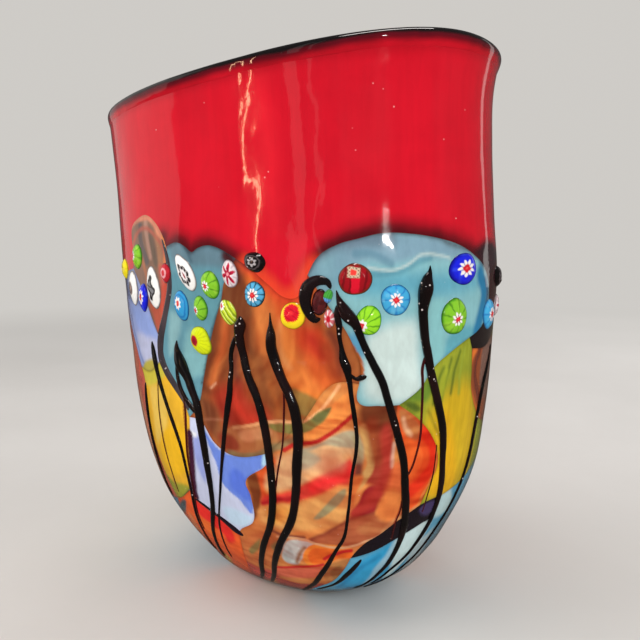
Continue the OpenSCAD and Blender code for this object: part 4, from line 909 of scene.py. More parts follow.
def painter(base, ops, mottled=0.07, edge_dark=0.35, edge_w=0.8, colours=None, mix=0.0, size=26, seed=3, wob=1.0,
            veins=None, tone=1.0):
    def f(t, h, edge, pts):
        rgb = np.repeat(lin(base)[None], len(t), 0)
        if colours is not None:
            m = marble(pts, colours, size, seed)
            rgb = rgb * (1 - mix) + m * mix
        rgb = rgb * drift(pts, (30, 30, 44), seed + 5, mottled)[:, None]
        rgb = paint(rgb, t, h, ops, wander(pts) * wob)
        rgb = rgb * drift(pts, (9, 9, 16), seed + 9, mottled * 0.5)[:, None]
        if veins is not None:
            # fine drawn-out streaks folded into the sheet of glass
            fold = pts + 8.0 * np.stack([noise(pts, 27, seed + 21), noise(pts, 27, seed + 22), noise(pts, 22, seed + 23)], -1)
            fold = fold @ TURNED
            band = noise(fold, veins[0], seed + 25) + 0.5 * noise(fold, tuple(0.5 * x for x in veins[0]), seed + 26)
            warm = np.stack([0.6 * band, 1.25 * band, 1.3 * band], -1)
            rgb = np.clip(rgb * (1 + veins[1] * warm), 0, 1)
        return rgb * tone * (1 - edge_dark * np.exp(-(edge / edge_w) ** 2))[:, None]
    return f


def skyline_ops(lo, hi, ops):
    """Soft bands along the skyline between two angles."""
    out = []
    part = [p for p in SKY + [[204, 203]] if lo <= p[0] <= hi]
    for col, soft, width, strength in ops:
        out.append(("L", col, soft, width, strength, part))
    return out


RED_HALO = [((120, 11, 24), 9, 13, 0.8), ((64, 8, 16), 6, 6, 0.85)]
HALOS = []
for _lo, _hi in ((-107.5, -79), (-68, 4), (6, 52), (52, 112), (147, 193)):
    HALOS += skyline_ops(_lo, _hi, RED_HALO)
RIM_HALO = []
for _lo, _hi in ((-107.5, -79), (-68, 4), (6, 52), (52, 112), (147, 193)):
    RIM_HALO += skyline_ops(_lo, _hi, [((70, 34, 44), 4.5, 1.5, 0.9)])
# painted shade and painted reflection: soft vertical bands down the red field, the first lighter (a painted
# reflection), the other three darker (painted shade)
RED_SHADE_AND_SHEEN = [
    ("L", (228, 34, 48), 14, 8, 0.5, [[-76, 290], [-74, 250], [-74, 215]]),
    ("L", (196, 10, 30), 16, 10, 0.5, [[-86, 285], [-84, 250], [-86, 225]]),
    ("L", (196, 10, 32), 22, 16, 0.5, [[-50, 285], [-46, 250], [-44, 228]]),
    ("L", (182, 10, 34), 20, 10, 0.5, [[0, 290], [0, 250], [0, 220]]),
]
BLOB_OPS = AMBER + DRIP + EDGE + [("L", (120, 22, 18), 9, 8, 0.6, [[-90, 123.5], [-88, 118.5], [-86, 113.5]])]
SWIRL_ALL = SWIRL + EDGE
G = {
    "brown_lobe": dict(base=(126, 92, 74), ops=LOBE + [
        ("L", (176, 84, 66), 2.6, 2.2, 0.85, [[-124.5, 206], [-123.5, 216], [-120, 223], [-115.5, 226], [-111, 223], [-108, 216], [-106.5, 206], [-106.5, 196]])], edge_dark=0.2),
    "periwinkle_panel": dict(base=(150, 164, 214), ops=PERI, edge_dark=0.45),
    "terracotta_strip": dict(base=(190, 84, 70), ops=[
        ("L", (228, 150, 104), 10, 8, 0.9, [[-140, 118], [-136, 95], [-132, 70]]),
        ("L", (232, 168, 120), 8, 5, 0.8, [[-133, 120], [-131, 95], [-128, 66]]),
        ("L", (150, 58, 54), 10, 8, 0.6, [[-158, 190], [-150, 165], [-146, 135]])],
        colours=[(170, 64, 56), (206, 98, 76), (226, 140, 100)], mix=0.5),
    "yellow_panel": dict(base=(226, 172, 44), ops=YELLOW + SEAM1),
    "left_blue_panel": dict(base=(118, 178, 196), ops=LEFTBLUE, edge_dark=0.25, tone=0.62),
    "lavender_panel": dict(base=(196, 202, 228), ops=LAVENDER + SEAM1, edge_dark=0.2),
    "orange_low_panel": dict(base=(232, 92, 36), ops=ORANGELOW, mottled=0.12, veins=((12, 12, 4), 0.22)),
    "amber_blob": dict(base=(176, 92, 48), ops=BLOB_OPS, mottled=0.16, edge_dark=0.3, veins=((4.5, 4.5, 22), 0.30), tone=0.77),
    "marbled_swirl": dict(base=(216, 126, 66), ops=SWIRL_ALL, mottled=0.12, edge_dark=0.25, veins=((16, 16, 4), 0.40), tone=0.87),
    "blue_dome": dict(base=(150, 208, 216), ops=DOME, mottled=0.05, edge_dark=0.3, tone=0.74),
    "dark_wedge": dict(base=(24, 17, 19), ops=[]),
    "green_yellow_panel": dict(base=(146, 154, 44), ops=GREEN, mottled=0.10),
    "brown_oval": dict(base=(150, 76, 42), ops=OVAL, mottled=0.12),
    "dark_bar": dict(base=(20, 13, 22), ops=BAR, edge_dark=0.1),
    "light_blue_low": dict(base=(90, 160, 192), ops=LOWBLUE, mottled=0.06),
    "right_end_lime": dict(base=(160, 176, 56), ops=[
        ("L", (110, 134, 40), 4, 4, 0.7, [[12, 176], [22, 160], [30, 130]]),
        ("L", (196, 190, 60), 5, 6, 0.8, [[24, 190], [32, 165], [38, 130]]),
        ("L", (120, 144, 44), 4, 4, 0.7, [[38, 196], [44, 165], [46, 130]]),
        ("P", (222, 176, 40), 12, 0, 0.9, [[22, 128], [34, 132], [46, 128], [40, 112], [30, 106], [20, 110]]),
        ("P", (112, 150, 60), 10, 0, 0.7, [[20, 188], [30, 198], [44, 199], [50, 190], [40, 184]]),
        ("P", (36, 16, 20), 5, 0, 1, [[2, 170], [6, 178], [12, 181], [14, 170], [9, 158], [5, 160]])],
        colours=[(120, 140, 40), (170, 180, 60), (206, 190, 60)], mix=0.45, size=22),
    "back_blue_dome": dict(base=(146, 206, 216), ops=[
        ("P", (136, 176, 198), 10, 0, 0.9, [[60, 200], [74, 210], [90, 211], [104, 203], [98, 196], [80, 198], [66, 193]]),
        ("P", (112, 186, 208), 12, 0, 0.9, [[58, 184], [80, 190], [108, 184], [104, 172], [80, 174], [58, 172]]),
        ("P", (206, 231, 227), 12, 0, 0.9, [[68, 160], [86, 164], [98, 150], [90, 134], [76, 130], [66, 140]]),
        ("L", (48, 138, 186), 6, 8, 0.8, [[109, 186], [107, 168], [102, 152], [95, 140]]),
        ("L", (208, 228, 226), 1.4, 1.8, 0.9, [[62, 196], [72, 199], [82, 196], [92, 198], [102, 194]]),
        # painted shadow: a soft darker teal line just under the white thread
        ("L", (80, 150, 172), 3, 3, 0.5, [[64, 192], [74, 195], [84, 192], [94, 194]])],
        mottled=0.05, edge_dark=0.3, tone=0.8),
    "back_coral_swirl": dict(base=(220, 110, 60), ops=[
        ("L", (226, 60, 40), 3, 9, 0.9, [[20, 70], [34, 84], [50, 88], [66, 80], [78, 88]]),
        ("L", (206, 150, 92), 2, 6, 0.95, [[28, 96], [40, 100], [54, 112], [68, 108]]),
        ("L", (126, 60, 34), 2, 6, 0.9, [[52, 122], [62, 112], [74, 114], [82, 104]]),
        ("L", (240, 190, 150), 1.4, 1.8, 0.9, [[24, 58], [40, 66], [56, 62], [70, 52]]),
        ("P", (204, 196, 190), 1.6, 0, 0.9, [[40, 42], [54, 48], [60, 40], [50, 30], [42, 32]]),
        ("L", (247, 134, 48), 1.5, 4, 0.95, [[26, 34], [38, 26], [52, 22], [64, 28]]),
        ("L", (190, 40, 34), 1, 2.4, 0.95, [[22, 46], [36, 52], [52, 54], [68, 44]])],
        colours=[(150, 60, 40), (216, 104, 56), (232, 150, 96), (210, 120, 66), (190, 60, 44), (228, 130, 66)], mix=0.85, veins=((16, 16, 4), 0.3), size=24, seed=11),
    "back_lavender": dict(base=(190, 198, 228), ops=[
        ("P", (104, 132, 214), 1.4, 0, 0.95, [[90, 120], [100, 116], [104, 100], [98, 90], [94, 104]]),
        ("L", (236, 238, 244), 3, 3, 0.8, [[86, 110], [90, 96], [94, 80]])], edge_dark=0.2),
    "back_brown_blob": dict(base=(176, 92, 48), ops=[
        ("L", (226, 118, 48), 4, 9, 0.9, [[130, 206], [128, 180], [126, 150], [122, 120]]),
        ("L", (116, 58, 36), 4, 7, 0.9, [[120, 200], [116, 175], [114, 150], [112, 120]]),
        ("L", (128, 60, 38), 4, 6, 0.9, [[140, 196], [137, 170], [134, 145], [130, 110]]),
        ("L", (226, 70, 38), 5, 10, 0.9, [[108, 96], [118, 92], [126, 100]]),
        ("L", (238, 172, 110), 1, 2.2, 0.95, [[104, 104], [116, 112], [128, 128], [136, 140]]),
        ("P", (214, 22, 40), 6, 0, 0.8, [[124, 214], [136, 214], [134, 200], [126, 200]])],
        colours=[(110, 56, 36), (176, 88, 44), (226, 120, 52), (150, 76, 42)], mix=0.55, veins=((7, 7, 30), 0.16), size=38, seed=13),
    "back_orange_low": dict(base=(234, 104, 44), ops=[
        ("L", (228, 40, 34), 4, 7, 0.9, [[82, 58], [96, 62], [112, 68], [128, 78]]),
        ("L", (240, 170, 90), 2, 4, 0.8, [[78, 36], [96, 44], [114, 46], [134, 58]]),
        ("L", (200, 50, 36), 3, 5, 0.8, [[80, 16], [100, 24], [124, 20], [146, 26]])],
        colours=[(216, 60, 34), (236, 110, 44), (240, 150, 70), (206, 90, 50)], mix=0.8, veins=((16, 16, 4), 0.3), size=22, seed=17),
    "back_yellow": dict(base=(226, 172, 40), ops=[
        ("P", (150, 152, 50), 10, 0, 0.9, [[150, 62], [172, 60], [200, 60], [214, 64], [200, 52], [160, 52]]),
        ("L", (150, 106, 52), 0.8, 1.2, 0.85, [[158, 122], [160, 100], [166, 70]]),
        ("L", (150, 106, 52), 0.8, 1.2, 0.85, [[190, 118], [188, 95], [182, 62]]),
        ("L", (232, 200, 96), 6, 8, 0.7, [[172, 114], [176, 90], [178, 70]])],
        colours=[(190, 170, 50), (228, 176, 40), (236, 190, 70)], mix=0.5, size=28, seed=19),
    "left_back_blue": dict(base=(112, 160, 206), ops=[
        ("P", (126, 160, 196), 12, 0, 0.8, [[152, 200], [166, 208], [184, 206], [190, 196], [170, 196]]),
        ("P", (150, 170, 218), 14, 0, 0.9, [[150, 170], [172, 176], [194, 170], [190, 150], [160, 150]]),
        ("P", (190, 206, 226), 12, 0, 0.85, [[160, 144], [176, 146], [190, 136], [176, 126], [160, 128]]),
        ("L", (206, 222, 230), 1.4, 1.8, 0.85, [[154, 190], [166, 194], [178, 190], [190, 192]])], mottled=0.06),
    "left_back_low": dict(base=(72, 152, 190), ops=[
        ("L", (190, 216, 220), 4, 7, 0.9, [[158, 16], [176, 30], [196, 34], [222, 44]]),
        ("L", (48, 150, 204), 5, 9, 0.9, [[160, 40], [180, 44], [204, 44]]),
        ("L", (92, 138, 160), 4, 5, 0.8, [[180, 12], [200, 20], [224, 26]])], mottled=0.06),
}

STEPS = {"marbled_swirl": 0.85, "amber_blob": 1.0, "yellow_panel": 1.1, "brown_oval": 0.9, "dark_bar": 1.0}
STREAKY = ("green_yellow_panel", "brown_lobe", "right_end_lime")
for node_name, outline in PANELS.items():
    spec = dict(G[node_name])
    front = not node_name.startswith(("back_", "left_back", "right_end"))
    if node_name in ("left_blue_panel", "blue_dome", "back_blue_dome", "left_back_blue", "dark_wedge", "amber_blob", "right_end_lime"):
        spec["ops"] = spec["ops"] + RIM_HALO
    step = STEPS.get(node_name, 1.2 if front else 1.5)
    v, tr, q, ln, col = panel_piece(smooth_outline(outline), step, painter(**spec))
    place(make_mesh(node_name + "_glass", v, tr, q, ln, col), node_name,
          skin_glass(node_name, streak_dir=(1, 1, 0.12) if node_name in STREAKY else (1, 1, 0.4),
                     streak=0.10 if node_name in STREAKY else 0.05))


def red_field():
    low = smooth_outline(SKY + [[204, 203]], closed=False)
    top = HEIGHT - WRAP + 0.4
    side = np.linspace(203, top, 60)
    right = np.stack([np.full(58, 204.0), side[1:-1]], 1)
    tt = np.linspace(204, -156, 421)
    upper = np.stack([tt, np.full(len(tt), top)], 1)
    left = np.stack([np.full(58, -156.0), side[1:-1][::-1]], 1)
    outline = np.concatenate([low, right, upper, left])

    def seam(a, b):
        return ((np.abs(a[:, 0] + 156) < 1e-6) & (np.abs(b[:, 0] + 156) < 1e-6)) | \
               ((np.abs(a[:, 0] - 204) < 1e-6) & (np.abs(b[:, 0] - 204) < 1e-6))

    def colour(t, h, edge, pts):
        rgb = np.repeat(lin((200, 14, 35))[None], len(t), 0)
        rgb = rgb * drift(pts, (40, 40, 80), 51, 0.10)[:, None]
        rgb = paint(rgb, t, h, RED_SHADE_AND_SHEEN + HALOS + REDEND + DRIP, wander(pts))
        k = ease(h, top - 5, top + 0.5)[:, None]
        rgb = rgb * (1 - 0.22 * k)
        return rgb

    v, tr, q, ln, col = panel_piece(outline, 2.1, colour, skip=seam, near=(low, 11.0, 0.95))
    # join the two sides of the seam
    n = len(v) // 2
    close = {}
    remap = np.arange(len(v))
    nb = len(outline)
    for base in (0, n):
        for i in range(nb):
            k = tuple(np.round(v[base + i], 3))
            if k in close:
                remap[base + i] = close[k]
            else:
                close[k] = base + i
    used = np.unique(remap)
    new = np.full(len(v), -1)
    new[used] = np.arange(len(used))
    tr, q = new[remap[tr]], new[remap[q]]
    obj = make_mesh("red_field_glass", v[used], tr, q, ln, col[used])
    return place(obj, "red_field", skin_glass("red_field", mottle=0.06, streak=0.035, streak_dir=(1, 1, 0.07), bubbles=0.8, wave=0.5))


red_field()

# ---------------------------------------------------------------- canes
CANES = {
    "cane_01": [[[-117, 157.6, 1], [-116.5, 150.5, 3.8], [-115, 137, 3.4], [-112.3, 122, 3], [-109, 105, 2.6], [-107.5, 93, 2.3], [-107.5, 77, 2],
        [-108.5, 61.5, 2], [-112, 43, 1.8], [-117.5, 22, 1.5]]],
    "cane_02": [[[-124.5, 130, 1.8], [-125.5, 117, 2.8], [-126.5, 100.7, 2.6], [-127, 83.4, 2.8], [-127.5, 67.6, 2.2], [-127, 54.4, 1.4]]],
    "cane_03": [[[-105, 159.6, 0.7], [-105.2, 154, 4.2], [-104, 147, 8], [-101.5, 138.5, 6.2], [-100, 131, 5.4], [-98.5, 123, 5.4], [-98, 112, 5.2],
        [-97.5, 94, 4.6], [-98, 72.7, 3.8], [-100, 56.4, 3.2], [-106, 38, 2.4], [-113, 19, 1.8]],
        [[-105, 149, 3], [-105.7, 142, 2.6], [-105, 134, 2.8], [-103.2, 127, 3], [-101, 122, 3.4], [-98.6, 118, 3.4]]],
    "cane_04": [[[-84.8, 166, 2], [-86.3, 160, 2.8], [-87.3, 153, 3], [-87.2, 146, 3], [-87.6, 138, 3.6], [-88, 130, 4], [-90, 110.3, 3.2],
        [-92, 92, 2.2], [-95.5, 66.6, 1.6], [-100, 44, 1.3], [-105, 23, 1.1]]],
    "cane_05": [[[-84, 174.5, 3.2], [-84, 170.3, 7], [-84.5, 164.2, 6], [-83.8, 154.5, 5], [-82.5, 143, 5.1], [-80.2, 131.7, 5], [-78.5, 119.5, 4.9],
        [-77.5, 106.8, 4.9], [-77, 91.5, 4.6], [-77, 74.2, 4.6], [-78.5, 57.4, 4.4], [-83, 40.7, 3.8], [-87.5, 25.4, 3.4], [-91.5, 10, 2.6]]],
    "cane_06": [[[-76, 176.5, 0.5], [-76, 170.3, 2.2], [-76, 165.2, 5.2], [-76, 157.6, 6.3], [-74.8, 148.9, 6], [-73.2, 141, 5.4], [-71.5, 134.2, 5.6],
        [-69.8, 124.5, 5.8], [-69, 111.3, 5.8], [-69.5, 96, 5.6], [-70, 80.3, 5.1], [-71.5, 63, 4.9], [-76, 45.8, 4.3], [-79.5, 33.5, 3.9], [-85.5, 10, 2.6]]],
    "cane_07": [[[-58.8, 180, 1.7], [-59, 174.9, 3.3], [-58.5, 169.3, 3.6], [-58.5, 164.2, 2.6], [-58, 158.6, 2.6], [-57.5, 152.5, 4.6], [-56.5, 147.9, 4.8],
        [-56, 143.9, 3.4], [-55.5, 139.8, 2.7], [-55, 133.7, 2.6], [-54, 124.5, 2.6], [-53, 113.9, 2.1], [-53, 105, 1.9], [-54, 90.5, 1.7], [-54, 71.7, 1.7],
        [-53.8, 56.9, 1.9], [-56, 46.8, 2.1], [-59, 35.1, 3], [-63, 21.4, 3.2], [-66.5, 7, 1.8]],
        [[-56.4, 145.8, 2.2], [-54, 142.8, 1.9], [-52.6, 143.3, 3.2], [-51, 143.9, 3.6]]],
    "cane_08": [[[-59, 187, 0.4], [-58.5, 183, 2.6], [-57.5, 178.4, 5.6], [-56, 173.9, 6.8], [-54, 169.8, 5.8], [-53, 164.2, 4.4], [-51.5, 157.6, 4.1],
        [-49.5, 150.5, 4.2], [-46.5, 141, 4.2], [-44.5, 131.5, 4.2], [-41, 115.4, 4.3], [-38, 100.7, 4.2], [-36, 83.9, 4.4], [-33.5, 69.6, 4.3],
        [-31.5, 57.4, 4], [-31, 45.8, 3.1], [-32.5, 34, 2.6], [-36, 22.4, 1.9], [-40, 14, 1.2]]],
    "cane_09": [[[-32, 196.5, 0.4], [-32.2, 193.2, 2.6], [-33, 190.1, 5.8], [-33.5, 185.5, 8.3], [-34, 181, 7.5], [-34.4, 175.4, 5.5], [-34.2, 168.8, 5],
        [-33.5, 160.6, 4.8], [-32, 151, 4.9], [-30.5, 142.5, 4.8], [-27, 127.6, 4.6], [-23.5, 112.3, 4.4], [-21.8, 95.6, 3.9], [-20, 80.8, 3.7],
        [-19, 67.6, 3.4], [-18.8, 56.4, 2.9], [-21.5, 42, 2.4], [-28, 29, 1.9], [-33, 18, 1.2]]],
    "cane_10": [[[7, 152, 1.2], [2, 138, 2.6], [-1, 129, 2.9], [-3, 112, 2.8], [-4, 97, 2.6], [-5.5, 82, 2.4], [-8.5, 58, 2.2], [-14, 38, 1.9],
        [-24, 21, 1.6], [-31, 12, 1.1]]],
    "fine_threads": [
        [[-103.5, 126.6, 1.2], [-103.5, 115.4, 1.5], [-104.3, 104.2, 1.6], [-105.3, 91, 1.5], [-106, 75.2, 1.4], [-107.5, 60.5, 1.3], [-111, 40, 1]],
        [[-73, 136, 1], [-72.8, 126.6, 1.2], [-73.3, 107.8, 1.1], [-75, 92, 1.1], [-76.5, 75.7, 1.1], [-78, 63, 0.9]],
        [[-33, 153, 1.6], [-34, 146.4, 1.6], [-33.5, 138.3, 1.5], [-33, 123, 1.3], [-32.7, 110.8, 1.2], [-34.2, 97.6, 1.1], [-36.4, 90, 1]],
        [[-25.5, 106, 0.7], [-25.3, 91.5, 0.8], [-25.8, 79, 0.8], [-25.5, 68, 0.7]],
        [[-36.5, 78, 0.8], [-36, 71.7, 0.9], [-36.3, 64.1, 0.9], [-35.3, 53.4, 0.8]],
        [[-115.5, 133.2, 0.7], [-117, 114.4, 0.9], [-117.5, 95.1, 0.9], [-117, 75.7, 0.9], [-117, 62, 0.7]]],
    "back_canes": [
        [[30, 180, 1.2], [31, 168, 5], [33, 140, 4], [38, 105, 3.6], [40, 70, 3.2], [36, 40, 2.6], [30, 20, 2]],
        [[66, 176, 1.2], [67, 165, 6], [65, 140, 4.4], [62, 110, 4], [63, 75, 3.6], [60, 45, 3], [52, 20, 2.2]],
        [[92, 182, 1.4], [91, 172, 6.4], [94, 148, 4.4], [98, 118, 4], [97, 85, 3.4], [93, 50, 2.8], [88, 20, 2]],
        [[117, 180, 1.2], [118, 165, 4.4], [121, 135, 4], [119, 100, 3.6], [115, 65, 3], [108, 25, 2.2]],
        [[152, 170, 1.2], [151, 158, 5], [154, 130, 3.8], [158, 100, 3.4], [155, 65, 3], [148, 28, 2]],
        [[186, 168, 1], [185, 155, 4], [187, 128, 3.2], [189, 95, 2.8], [186, 60, 2.4], [176, 25, 1.8]]],
    "left_seam": [[[-107.5, 219, 1], [-105.9, 208, 3.2], [-105.6, 199.8, 3.8], [-106, 190.1, 4.2], [-107.5, 181, 4.4], [-109.5, 171.3, 5],
        [-112, 160, 6.2], [-113, 150, 6], [-111, 141, 5.6], [-107.4, 133, 5], [-104.3, 126, 3.6], [-102, 119, 2.2]]],
    "lavender_seam": [[[-107, 62.5, 1.5], [-103, 60, 2], [-99, 56.9, 2.2], [-95.5, 53.4, 3.2], [-92.3, 49.5, 4.4], [-89.5, 46.5, 3]]],
    "swirl_seam": [[[-45.5, 41, 1.4], [-47, 36.6, 2.6], [-49.5, 30, 3.1], [-53.5, 20.8, 2.2], [-60, 11.7, 1.3]]],
}


def tube(path, height=0.42, sink=0.25, tip=1.3, lumps=0.07, seed=1, step=0.8, colours=((13, 9, 11), (34, 12, 14))):
    """A cane lying on the wall: [angle, height, width] points, rounded over, narrowing to its ends."""
    p = np.asarray(path, float)
    c = rounded(p, False, 24)
    c[:, 2] = np.maximum(c[:, 2], 0.7)
    xyz = at(c[:, 0], c[:, 1])
    s = np.concatenate([[0], np.cumsum(np.linalg.norm(np.diff(xyz, axis=0), axis=1))])
    # samples, closer together at the two ends
    m = max(12, int(s[-1] / step))
    u = np.linspace(0, s[-1], m)
    endr = [max(0.5, p[0, 2]) * tip, max(0.5, p[-1, 2]) * tip]
    extra = [endr[0] * (1 - np.cos(np.linspace(0, math.pi / 2, 7)))[1:-1], s[-1] - endr[1] * (1 - np.cos(np.linspace(0, math.pi / 2, 7)))[1:-1]]
    u = np.unique(np.round(np.concatenate([u, *extra]), 3))
    u = u[np.concatenate([[True], np.diff(u) > 0.05])]
    t, h, w = (np.interp(u, s, c[:, k]) for k in range(3))
    cen = at(t, h)
    n = at_normal(t, h)
    d = unit(np.gradient(cen, axis=0))
    e = unit(np.cross(d, n))
    round_off = np.minimum(np.sqrt(np.clip(1 - (1 - np.clip(u / endr[0], 0, 1)) ** 2, 0, 1)),
                           np.sqrt(np.clip(1 - (1 - np.clip((s[-1] - u) / endr[1], 0, 1)) ** 2, 0, 1)))
    round_off = np.maximum(round_off, 0.06)
    ww = w * round_off * (1 + lumps * noise(cen, 9, seed) + lumps * 0.5 * noise(cen, 3.5, seed + 3))
    K = 14
    ang = np.linspace(0, math.pi, K)
    prof = np.stack([-np.cos(ang) * 0.5, np.sin(ang) ** 0.9 * height], 1)
    prof = np.concatenate([prof, [[0.42, -sink], [-0.42, -sink]]])
    m = len(prof)
    verts = cen[:, None] + e[:, None] * (prof[None, :, 0, None] * ww[:, None, None]) + n[:, None] * (prof[None, :, 1, None] * ww[:, None, None] + 0.0)
    rows = len(u)
    idx = np.arange(rows * m).reshape(rows, m)
    a = idx[:-1]
    b = idx[1:]
    quads = np.stack([a, b, np.roll(b, -1, 1), np.roll(a, -1, 1)], -1).reshape(-1, 4)
    verts = verts.reshape(-1, 3)
    c0, c1 = len(verts), len(verts) + 1
    verts = np.concatenate([verts, [verts[idx[0]].mean(0), verts[idx[-1]].mean(0)]])
    tris = np.concatenate([np.stack([idx[0], np.roll(idx[0], -1), np.full(m, c0)], 1)[:, [0, 1, 2]],
                           np.stack([np.roll(idx[-1], -1), idx[-1], np.full(m, c1)], 1)])
    # orientation: outward faces
    mid = verts[quads].mean(1)
    nrm = np.cross(verts[quads[:, 1]] - verts[quads[:, 0]], verts[quads[:, 3]] - verts[quads[:, 0]])
    axis = np.repeat(cen[:-1], m, 0)
    if np.sum(np.einsum("ij,ij->i", nrm, mid - axis)) < 0:
        quads = quads[:, ::-1]
        tris = tris[:, ::-1]
    f = ease(noise(verts, 14, seed + 7), -0.2, 0.9)[:, None]
    col = lin(colours[0]) * (1 - f) + lin(colours[1]) * f
    return verts, tris, quads, col


def joined(parts):
    vs, ts, qs, cs, k = [], [], [], [], 0
    for v, t_, q, c in parts:
        vs.append(v), ts.append(t_ + k), qs.append(q + k), cs.append(c)
        k += len(v)
    return np.concatenate(vs), np.concatenate(ts), np.concatenate(qs), np.concatenate(cs)


ink = glass("ink_glass", mottle=0.2, streak=0.1, bubbles=0.9, bump=0.6, wave=0.6, rough=(0.04, 0.10), seeds=(300.0, 0.10, 0.18, 0.60), seed_glint_tone=0.62, pits_and_glints_up=(0.135, 0.172, 0.24))
thread = glass("thread_glass", mottle=0.2, streak=0.1, bubbles=0.0, bump=0.3, wave=0.4, rough=(0.06, 0.14))
for node_name, paths in CANES.items():
    cols = ((7, 5, 6), (24, 9, 10))
    if node_name == "fine_threads":
        cols = ((70, 14, 14), (36, 10, 12))
    if node_name == "left_seam":
        cols = ((58, 52, 58), (74, 62, 66))
    if node_name == "lavender_seam":
        cols = ((22, 10, 26), (60, 20, 50))
    hgt = {"left_seam": 0.09, "lavender_seam": 0.16, "swirl_seam": 0.25}.get(node_name, 0.42)
    parts = [tube(p, height=hgt, seed=60 + i, colours=cols) for i, p in enumerate(paths)]
    v, tr, q, col = joined(parts)
    obj = make_mesh(node_name + "_glass", v, tr, q, None, col)
    place(obj, node_name, thread if node_name in ("fine_threads",) else ink)

# ---------------------------------------------------------------- murrine
def star(r, a, n, r0, depth, turn=0.0):
    """Signed amount inside a star with n soft petals of radius r0."""
    return r0 * (1 + depth * np.cos(n * (a + turn))) - r


